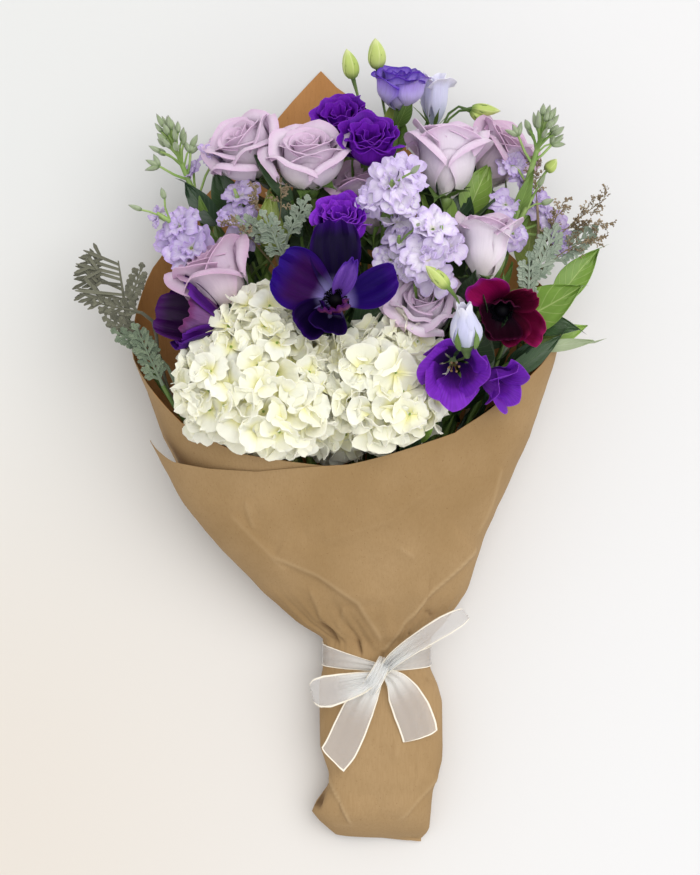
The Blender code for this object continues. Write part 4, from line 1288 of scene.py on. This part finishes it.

# The leafy twigs: glossy leathery leaves round the edge of the bouquet, and darker ones
# between the roses, dark partly as painted shade in the gaps between the flowers. Each twig's
# leaves: x, y, z, turn, lift, half width, length and finish.
SALAL, DARK, LIME, SAGE = 0, 2, 3, 4
LEAVES = (
    (((172, 124, 70, 34, 6, 11, 52), SALAL), ((149, 97, 90, 66, 16, 16, 60), SALAL),
     ((160, 76, 84, 78, 10, 8, 44), SALAL), ((138, 150, 74, 10, 10, 12, 46), LIME)),
    (((162, 69, 100, 82, 8, 4.5, 42), SAGE), ((138, 58, 108, 60, 16, 7, 50), DARK),
     ((152, 84, 90, 96, 14, 9, 40), DARK)),
    (((-92, 185, 72, -14, 16, 12, 40), DARK), ((-56, 160, 100, -2, 22, 14, 42), LIME),
     ((-55, 190, 114, -42, 24, 6, 44), DARK), ((-46, 166, 104, -34, 24, 6, 44), DARK),
     ((-112, 176, 74, -40, 10, 9, 40), DARK)),
    (((98, 187, 78, 24, 16, 12, 42), SALAL), ((65, 173, 84, -48, 16, 12, 40), SALAL),
     ((84, 170, 76, 8, 16, 12, 46), DARK), ((34, 244, 62, 16, 14, 7, 36), LIME),
     ((20, 236, 60, -20, 14, 6, 34), DARK), ((112, 168, 80, 30, 14, 8, 44), SALAL)),
    (((57, 10, 112, 30, 34, 8, 36), SALAL), ((20, 92, 112, 60, 30, 11, 40), DARK),
     ((48, 14, 104, -20, 34, 9, 34), DARK)),
)
TWIG_WALL = 0.5 * MM
twig_finishes = [
    leaf_finish("salal_leaf", (92, 132, 44), (148, 180, 84), (188, 208, 132), roughness=0.4, ribs=6.0),
    green_stalk,
    # The dark leaf's darkness is partly the leaves' own deep green and partly painted shade in the gaps
    # between the flowers.
    leaf_finish("dark_leaf", (30, 52, 38), (58, 84, 50), (92, 116, 80), roughness=0.4, ribs=7.0),
    leaf_finish("lime_leaf", (116, 140, 54), (160, 176, 88), (190, 202, 126), roughness=0.45, ribs=6.0),
    leaf_finish("sage_leaf", (142, 158, 120), (168, 180, 146), (196, 204, 176), roughness=0.6, ribs=6.0),
]


def leaf_twig(name, leaves, rng):
    """A leafy twig: its first leaf at its end, and the others on stalks of their own."""
    bm = tissue()
    place, half, _ = seat(*leaves[0][0])
    curve = stem_curve(name, place)
    twigs = []
    for index, (head, green) in enumerate(leaves):
        leaf_place, leaf_half, leaf_length = seat(*head)
        flat = leaf_place @ Matrix.Rotation(math.pi / 2, 4, "X")
        flat = flat @ Matrix.Rotation(rng.uniform(-0.3, 0.3), 4, "Y")
        blade(bm, flat, leaf_half, leaf_length, lance, cells=(10, 16), bend=rng.uniform(-0.7, 0.1),
              trough=0.3, ruffle=leaf_half * 0.07, waves=4, phase=rng.uniform(0, 6), round_off=0.04,
              sway=rng.uniform(-0.1, 0.1), age=rng.uniform(0.3, 1), finish_index=green)
        if index:
            twigs.append(twig_curve(curve, 0.85 - 0.06 * index, leaf_place))
    for index in range(5):
        grow_leaf(bm, curve, 0.85 - 0.09 * index, index * GOLDEN, rng.uniform(0.4, 0.7),
                  rng.uniform(34, 50) * MM, half * rng.uniform(0.7, 1.0), rng, finish_index=DARK,
                  age=rng.uniform(0, 0.5))
    wall(bm, TWIG_WALL)
    grow_stem(bm, curve, 1.3 * MM)
    for twig in twigs:
        grow_twig(bm, twig, [1.3] * 6)
    piece(name + "_leaves", bm, twig_finishes, [name])


for number, leaves in enumerate(LEAVES, 1):
    leaf_twig(f"leaf_twig_{number}", leaves, Random(f"leaf twig {number}"))

# The binding: a tan rubber band drawn tight round all the stems, under the paper. Its CAD
# solid stays as it is and gets the dusty finish of old rubber.
rubber, rubber_tree, rubber_shader = finish("rubber", 0.55)
powder = noisy(rubber_tree, places_of(rubber_tree), 900.0, 4.0)
rubber_tree.links.new(mixed(rubber_tree, powder, srgb(186, 150, 98), srgb(208, 176, 128)),
                      rubber_shader.inputs["Base Color"])
bumped(rubber_tree, rubber_shader, powder, 0.3, 0.0002)
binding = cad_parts["stem_binding"]
binding.data.materials.clear()
binding.data.materials.append(rubber)

# The kraft paper: one square sheet, laid corner up behind the flowers and rolled round
# them. Its right side comes last, over the front, and ends in a free corner on the left.
# Below the waist it is a flat tube whose end is folded shut.

# Stations along the roll: y, left x, right x and height.
STATIONS = (
    (-314.5, -5, 57, 4), (-312, -9, 60, 12), (-306, -15, 63, 22), (-298, -23, 63.5, 31), (-291, -28, 64, 36),
    (-284, -25, 64.5, 39), (-275, -18.5, 65.5, 40), (-270, -15, 67, 41), (-263, -13.5, 69.5, 42),
    (-252, -17.5, 72.5, 42), (-240, -21.5, 73, 43), (-205, -22, 72.5, 43), (-192, -22, 69, 43),
    (-180, -20, 64, 41), (-156, -20, 64, 41), (-142, -41, 75, 50), (-120, -65, 89, 66), (-87, -93, 101, 84),
    (-50, -119, 115, 101), (0, -144, 138, 120), (60, -163, 157, 140), (100, -166, 166, 150),
    (300, -166, 166, 150),
)
# The free edge at the mouth: degrees from the front round by the left, and its y.
BACK_CORNER = 175.4
MOUTH = (
    (-46, -60), (-20, -36), (0, -22), (30, -12), (60, 12), (80, 42), (100, 90), (115, 128), (122, 140),
    (135, 172), (141, 187), (155, 222), (165, 250), (BACK_CORNER, 289), (185, 248), (190, 233), (210, 172),
    (235, 126), (260, 96), (285, 70), (305, 40), (330, 4), (360, -20), (385, -25), (405, -23), (425, -18),
    (438, -8), (446, -2),
)
# The roll's section: where its widest part is, as a share of its height, how square its
# sides are, and how flat it has settled on the table.
BELLY = 0.47
SQUARENESS = 0.8
SETTLED = 1.1
PAPER_WALL = 0.5 * MM
# The least height of the sheet's two layers above the table.
INNER_FLOOR, OUTER_FLOOR = 1.1, 1.8
OUTER_TURN = 330
# The sheet's columns, crowded on the outer front where every crease shows: share and turn,
# with a column right at the back corner.
PAPER_COLUMNS = 250
COLUMN_TURNS = ((0.0, -46), (0.12, 100), (48 / PAPER_COLUMNS, 173.7), (0.30, 285), (1.0, 446))
EVEN_OUT = 4.0
# The sheet's rows, below and above the top of the flat tail, and how slanted its end is.
TAIL_ROWS = 72
CONE_ROWS = 56
TAIL_TOP = -132.0
TAIL_SLANT = 3.5
# The waist under the ribbon, where the paper is pinched in, and where its pleats gather.
WAIST = -172.0
PINCH = -168.0
GATHER = -150.0
# Creases on the front, in plan: a line, its half width, how far it stands proud, how far the
# paper stays up on its right before it settles again, or 0 for a plain ridge, and how much
# lighter it is painted, partly worn and partly painted highlight where the ridge takes the
# light, or darker, as painted shade where it is tucked in.
CREASES = (
    (((98, -82), (55, -123), (43, -139), (28, -162), (19, -167)), 3.2, 4.2, 24, 0.5),
    (((24.5, -160), (24, -153), (8, -125), (-21, -104), (-56, -88)), 3.2, 3.2, 20, 0.36),
    (((-76, -43), (-71, -59), (-66, -72)), 3.0, 1.6, 0, 0.25),
    (((-86, -55), (-57, -87), (-44, -104)), 3.0, 1.8, 12, 0.25),
    (((-30, -112), (-20, -132), (-19, -146)), 2.8, 2.0, 0, 0.2),
    (((-2, -126), (-6, -144), (-3, -158)), 2.8, 2.0, 0, 0.2),
    (((-25, -139), (-14, -148), (-8, -160)), 2.2, -3.2, 0, -0.8),
    (((4, -152), (8, -162), (11, -170)), 1.8, -3.0, 0, -0.8),
    (((31, -163), (22, -169)), 2.5, -2.0, 0, -0.8),
    (((44, -146), (51, -155)), 2.0, -2.2, 0, -0.6),
    (((58, -129), (69, -138)), 2.0, -2.4, 0, -0.6),
    (((58, -184), (65, -191)), 2.0, -1.6, 0, -0.5),
    (((35, -80), (52, -92)), 4.0, 1.2, 0, 0.3),
    (((114, -20), (107, -50), (97, -76)), 5.0, 1.6, 0, 0.3),
    (((5, -302), (-15, -258)), 2.8, 2.6, 10, 0.45),
    (((-17, -260), (-21, -272), (-27, -290)), 4.0, -6.0, 0, -1.0),
    (((71, -260), (50, -284), (37, -298)), 2.8, 2.2, 14, 0.35),
    (((-16, -301), (8, -301)), 2.4, 1.2, 0, 0.3),
    (((60, -205), (40, -226), (36, -250)), 4.0, 1.2, 10, 0.2),
    (((70, -30), (30, -62), (-20, -78)), 5.0, 0.8, 12, 0.15),
)
CREASE_END = 7.0
WEAR_HIGHLIGHT_WIDTH = 1.8


def near_line(x, y, line):
    """A point's distance in plan from a line of points, above 0 on the line's left, and how
    far from the line's nearer end it is."""
    best = 1e9
    reach = passed = 0.0
    for (ax, ay), (bx, by) in zip(line, line[1:]):
        dx, dy = bx - ax, by - ay
        share = min(1.0, max(0.0, ((x - ax) * dx + (y - ay) * dy) / (dx * dx + dy * dy)))
        off = math.hypot(x - ax - dx * share, y - ay - dy * share)
        if off < abs(best):
            best = math.copysign(off, dx * (y - ay) - dy * (x - ax))
            reach = passed + share * math.hypot(dx, dy)
        passed += math.hypot(dx, dy)
    return best, min(reach, passed - reach)


def creased(x, y):
    """How far the creases lift the front of the paper at a point in plan, and its wear and painted light:
    above 0 paler, partly worn and partly painted highlight, below 0 painted shade.
    """
    rise = 0.0
    wear_and_painted_light = 0.0
    for line, wide, proud, apron, wear_and_light_mark in CREASES:
        off, reach = near_line(x, y, line)
        fade = ease(reach / CREASE_END)
        if apron and off < 0:
            rise += fade * proud * math.exp(-((off / apron) ** 2))
        elif abs(off) < wide * 3:
            rise += fade * proud * math.exp(-((off / wide) ** 2) * 1.4)
        wear_and_painted_light += fade * wear_and_light_mark * math.exp(-((off / (WEAR_HIGHLIGHT_WIDTH if wear_and_light_mark > 0 else wide)) ** 2))
    off_waist = 1 - math.exp(-(((y - WAIST) / 9) ** 2))
    return rise * off_waist, min(1.0, max(-1.0, wear_and_painted_light))


def wrap_point(turn, y):
    """A point of the rolled sheet, in millimetres from the florist's origin, and its wear and painted light:
    above 0 paler, partly worn and partly painted highlight, below 0 painted shade.
    """
    _, left, right, height = between(STATIONS, y)
    middle, half = (left + right) / 2, (right - left) / 2
    front = math.cos(math.radians(turn))
    sideways = math.sin(math.radians(turn))
    rise = abs(front) ** SQUARENESS
    share = BELLY + (1 - BELLY) * rise if front > 0 else BELLY * max(0.0, 1 - SETTLED * rise)
    x = middle - half * math.copysign(abs(sideways) ** SQUARENESS, sideways)
    z = height * share
    out = Vector((x - middle, 0, z - height * BELLY))
    if out.length:
        out.normalize()

    grown = 0.0
    in_cone = ease((y + 118) / 90)
    if turn < 100:
        grown -= 1.8 * (1 - ease((turn - 80) / 20))
        hollow = ease((turn - 20) / 45) * (1 - ease((turn - 70) / 60)) * (1 - ease((y - 20) / 50))
        grown -= 5 * in_cone * hollow
    if turn > 372:
        grown += 7 * in_cone * ease((turn - 385) / 55)
    waist = math.exp(-((y - PINCH) / 17) ** 2)
    gather = math.exp(-((y - GATHER) / (26 if y > GATHER else 30)) ** 2)
    pleat = (math.sin(turn * 0.21 + 1.1) + 0.7 * math.sin(turn * 0.37 + 0.4 + y * 0.02)
             + 0.5 * math.sin(turn * 0.71 + 2.0))
    calm = 1 - 0.85 * ease((GATHER - y) / 20) * sideways**4
    grown += calm * 1.2 * gather * pleat * (1 - 0.75 * waist) - 1.0 * waist
    wear_and_painted_light = 0.0
    if front > 0.05:
        lifted, wear_and_painted_light = creased(x, y)
        grown += lifted * min(1.0, front * 3)
    broad = noise.noise(Vector((x * 0.021, y * 0.021, 3.1 + (turn > OUTER_TURN) * 2.0)))
    small = noise.noise(Vector((x * 0.075, y * 0.075, 8.7)))
    near, far = noise.voronoi(Vector((x * 0.017 + 2, y * 0.017, turn // OUTER_TURN)))[0][:2]
    facet = max(0.0, 1 - (far - near) * 3.2) ** 2
    body = calm * (1 - 0.8 * waist)
    grown += body * (2.4 * broad + 0.5 * small - 1.1 * facet * (0.35 + gather + ease((-200 - y) / 60)))
    point = Vector((x, y, z)) + out * grown
    point.z = max(point.z, INNER_FLOOR if turn < OUTER_TURN else OUTER_FLOOR)
    return point, wear_and_painted_light


bm = tissue()
made = bmesh.ops.create_grid(bm, x_segments=PAPER_COLUMNS, y_segments=TAIL_ROWS + CONE_ROWS, size=1,
                             calc_uvs=True)
for corner in made["verts"]:
    turn = between(COLUMN_TURNS, (corner.co.x + 1) / 2)[1]
    turn -= EVEN_OUT * math.sin(math.radians(4 * turn))
    step = (corner.co.y + 1) / 2 * (TAIL_ROWS + CONE_ROWS)
    if step <= TAIL_ROWS:
        foot_y = STATIONS[0][0] + TAIL_SLANT * math.sin(math.radians(turn))
        y = lerp(foot_y, TAIL_TOP, step / TAIL_ROWS)
    else:
        y = lerp(TAIL_TOP, between(MOUTH, turn)[1], (step - TAIL_ROWS) / CONE_ROWS)
    spot, wear_and_painted_light = wrap_point(turn, y)
    corner.co = desk + spot * MM
    corner[bm.verts.layers.float["age"]] = wear_and_painted_light
bmesh.ops.recalc_face_normals(bm, faces=bm.faces[:])
wall(bm, PAPER_WALL)
for face in bm.faces:
    spot = (face.calc_center_median() - desk) / MM
    _, left, right, height = between(STATIONS, spot.y)
    if face.normal.dot(Vector((spot.x - (left + right) / 2, 0, spot.z - height * BELLY))) < 0:
        face.material_index = 1


# The pale crease colour is partly wear and partly painted highlight on lit ridges; the dark one is painted
# shade in the tucks.
KRAFT_SPECK = (118, 84, 50)
KRAFT_WORN_AND_LIT = (206, 178, 138)
KRAFT_PAINTED_SHADE = (84, 58, 32)


def kraft_finish(name, deep, light, fibre):
    """Kraft paper: ribbed fibres and flecks, pale where a crease is worn and, as painted highlight, where its
    ridge takes the light, and dark with painted shade in a tuck.
    """
    made, tree, shader = finish(name, 0.82, Specular_IOR_Level=0.3)
    places = places_of(tree)
    along_sheet = add(tree, "Mapping", s_Vector=places, s_Scale=(700.0, 90.0, 700.0)).outputs[0]
    fibres = noisy(tree, along_sheet, 1.0, 5.0, s_Roughness=0.65)
    cloudy = noisy(tree, places, 14.0, 5.0)
    wear_and_light_mark = age_of(tree)
    tone = srgb(*deep)
    for value, low, high, to_low, to_high, colour in (
            (cloudy, 0.25, 0.75, 0.0, 1.0, light),
            (fibres, 0.35, 0.75, 0.0, 0.3, fibre),
            (noisy(tree, places, 800.0, 1.0), 0.68, 0.78, 0.0, 0.5, KRAFT_SPECK),
            (wear_and_light_mark, 0.0, 1.0, 0.0, 0.75, KRAFT_WORN_AND_LIT),
            (wear_and_light_mark, -1.0, 0.0, 0.8, 0.0, KRAFT_PAINTED_SHADE)):
        tone = mixed(tree, ramped(tree, value, low, high, to_low, to_high), tone, srgb(*colour))
    tree.links.new(tone, shader.inputs["Base Color"])
    bumped(tree, shader, maths(tree, "ADD", fibres, cloudy), 0.35, 0.0004)
    return made


kraft = kraft_finish("kraft_paper", (150, 121, 81), (167, 138, 99), (138, 108, 70))
# The inside of the sheet is painted lighter and warmer than the outside: painted light, brightening it where
# it lies in shade between the paper and the flowers.
kraft_inside_painted_light = kraft_finish("kraft_paper_inside_painted_light", (170, 119, 67), (186, 134, 82), (152, 103, 58))
paper = piece("kraft_wrap", bm, [kraft, kraft_inside_painted_light], ["kraft_paper"], smooth=60)

# The ribbon: sheer white organza with a woven satin edge, passed once round the waist
# and tied on the front in a bow with two loops and two tails, crushed at the knot.
organza, organza_tree, organza_shader = finish("organza", 0.45, Sheen_Weight=0.15)
_, run_share, edge = along_and_across(organza_tree)
crushed = age_of(organza_tree)
cut_end = maths(organza_tree, "MULTIPLY", ramped(organza_tree, run_share, 0.965, 0.975),
                ramped(organza_tree, crushed, 0.02, 0.10, 1.0, 0.0))
selvedge = maths(organza_tree, "MAXIMUM", ramped(organza_tree, edge, 0.44, 0.462), cut_end)
threads = add(organza_tree, "TexWave", wave_type="BANDS", bands_direction="X", s_Scale=420.0,
              s_Vector=places_of(organza_tree)).outputs["Fac"]
veil = maths(organza_tree, "ADD", ramped(organza_tree, crushed, 0.0, 1.0, 0.26, 0.46),
             maths(organza_tree, "MULTIPLY", threads, 0.06))
organza_tree.links.new(maths(organza_tree, "MAXIMUM", veil, maths(organza_tree, "MULTIPLY", selvedge, 0.85)),
                       organza_shader.inputs["Alpha"])
net = mixed(organza_tree, ramped(organza_tree, crushed, 0.0, 0.8), srgb(214, 211, 209), srgb(246, 247, 246))
organza_tree.links.new(mixed(organza_tree, selvedge, net, srgb(250, 243, 228)),
                       organza_shader.inputs["Base Color"])
bumped(organza_tree, organza_shader, threads, 0.15, 0.0002)

# Each length: its route, x, y and z; its half widths; its ripples and their depth; how
# slanted its cut end is; how tightly it is drawn together all along.
RIBBON_RUNS = (
    (((25, -180, 49), (34, -170, 55), (46, -160, 61), (60, -150.5, 65), (74, -142, 66), (84, -136.5, 64),
      (89.5, -133.5, 60.5), (84, -137, 57.5), (73, -143, 56), (60, -151, 55), (46, -160.5, 53),
      (34, -170.5, 50.5), (25, -181, 48)),
     (3.5, 5.5, 6.5, 7.2, 7.6, 6.6, 4.2, 7.0, 7.6, 7.2, 6.2, 5.0, 3.5), 5.0, 1.5, 0.0, 0.0),
    (((22, -183, 49), (10, -187, 54), (-4, -190.5, 56), (-16, -193.5, 55.5), (-24, -195, 53.5),
      (-28, -196, 50.5), (-24, -196, 48.5), (-14, -194, 47.5), (0, -191, 47.5), (12, -187, 48),
      (23, -182, 48)),
     (4, 8.5, 11, 12.5, 11.0, 6.5, 11.0, 12, 10, 7, 3.5), 5.0, 1.5, 0.0, 0.0),
    (((22, -186, 48), (15, -196, 48), (8, -208, 47), (1, -224, 46), (-6, -239, 45), (-12.5, -248, 44)),
     (4, 9, 12, 13, 13, 12.4), 3.0, 1.2, -0.07, 0.0),
    (((29, -180, 48), (36, -186, 48.5), (42, -196, 48), (48.5, -209, 47), (53.5, -222, 46), (55.5, -231, 45)),
     (3.5, 8, 12.5, 14.5, 14.5, 13.6), 3.0, 1.2, 0.05, 0.0),
    (((28, -169, 45), (26.5, -173, 51.5), (23, -180, 54), (19, -187, 53.5), (15.5, -193, 50),
      (14.5, -197, 46)),
     (4.5, 5.5, 6.2, 6.6, 6.6, 5.5), 5.0, 0.6, 0.0, 0.7),
)
ORGANZA_WALL = 0.22 * MM
RUN_COLUMNS = 18
ROWS_PER_POINT = 8
# How near its end a length must be to be crushed by the knot.
SMOOTH_SHARE = 0.35
# The band round the waist: its columns and rows, where it starts and ends, its middle's x and
# z, its lowest height, its half width on the sides and at the knot, and the knot's x, how far
# the knot gathers it and how far it draws it down.
BAND_COLUMNS = 14
BAND_ROWS = 150
BAND_TURNS = (86, 446)
BAND_X, BAND_Z = 22.0, 20
BAND_FLOOR = 0.5
BAND_HALVES = (8.6, 2.8)
KNOT_X = 25
KNOT_REACH = 46
KNOT_DROP = 9


def ribbon_run(bm, route, halves, ripples, depth, cut, drawn):
    """A length of ribbon along its route, crushed into ripples towards the knot."""
    points = [Vector(point) for point in route]
    doubled = (points[-1] - points[0]).length < 5
    outward = (points[len(points) // 2] - points[0]).cross(UP).normalized()
    layer = bm.verts.layers.float["age"]
    made = bmesh.ops.create_grid(bm, x_segments=RUN_COLUMNS, y_segments=ROWS_PER_POINT * len(points), size=1,
                                 calc_uvs=True)
    for corner in made["verts"]:
        u = corner.co.x
        v = (corner.co.y + 1) / 2
        v = max(0.0, v * (1 + cut * u * v**3) - (0 if doubled else 0.03 * abs(u) ** 4 * v**4))
        first = min(int(v * (len(points) - 1)), len(points) - 2)
        s = v * (len(points) - 1) - first
        ahead = points[min(first + 2, len(points) - 1)] - points[first]
        behind = points[first + 1] - points[max(first - 1, 0)]
        point = ((2 * s**3 - 3 * s * s + 1) * points[first] + (s**3 - 2 * s * s + s) * behind * 0.5
                 + (3 * s * s - 2 * s**3) * points[first + 1] + (s**3 - s * s) * ahead * 0.5)
        half = lerp(halves[first], halves[first + 1], min(s, 1.0))
        tangent = lerp(behind, ahead, s)
        across = outward if doubled else tangent.cross(UP).normalized()
        over = across.cross(tangent).normalized()
        to_knot = abs(2 * v - 1) if doubled else 1 - v
        crush = max(drawn, ease((to_knot - SMOOTH_SHARE) / 0.65))
        wave = (math.sin(ripples * math.pi * u + 0.9 * v) + 0.5 * math.sin(ripples * 2.3 * u + 5 * v)) * depth
        corner.co = desk + (point + across * u * half + over * wave * (0.2 + crush)) * MM
        corner[layer] = crush


bm = tissue()
made = bmesh.ops.create_grid(bm, x_segments=BAND_COLUMNS, y_segments=BAND_ROWS, size=1, calc_uvs=True)
for corner in made["verts"]:
    turn = lerp(*BAND_TURNS, (corner.co.y + 1) / 2)
    from_knot = abs(wrap_point(turn, WAIST)[0].x - KNOT_X)
    near_knot = max(0.0, 1 - from_knot / KNOT_REACH) if 270 < turn < BAND_TURNS[1] else 0.0
    y = PINCH - KNOT_DROP * near_knot + corner.co.x * lerp(*BAND_HALVES, near_knot**1.2)
    point = wrap_point(turn, y)[0]
    out = Vector((point.x - BAND_X, 0, point.z - BAND_Z)).normalized()
    crinkle = 0.5 * (0.5 + near_knot) * (1 + math.sin(corner.co.x * 8 + turn * 0.05))
    point += out * (1.2 + crinkle)
    point.z = max(point.z, BAND_FLOOR)
    corner.co = desk + point * MM
    corner[bm.verts.layers.float["age"]] = 0.15 + 0.6 * near_knot
for run in RIBBON_RUNS:
    ribbon_run(bm, *run)
wall(bm, ORGANZA_WALL)
ribbon = piece("organza_bow", bm, [organza], ["organza_ribbon"], smooth=60)
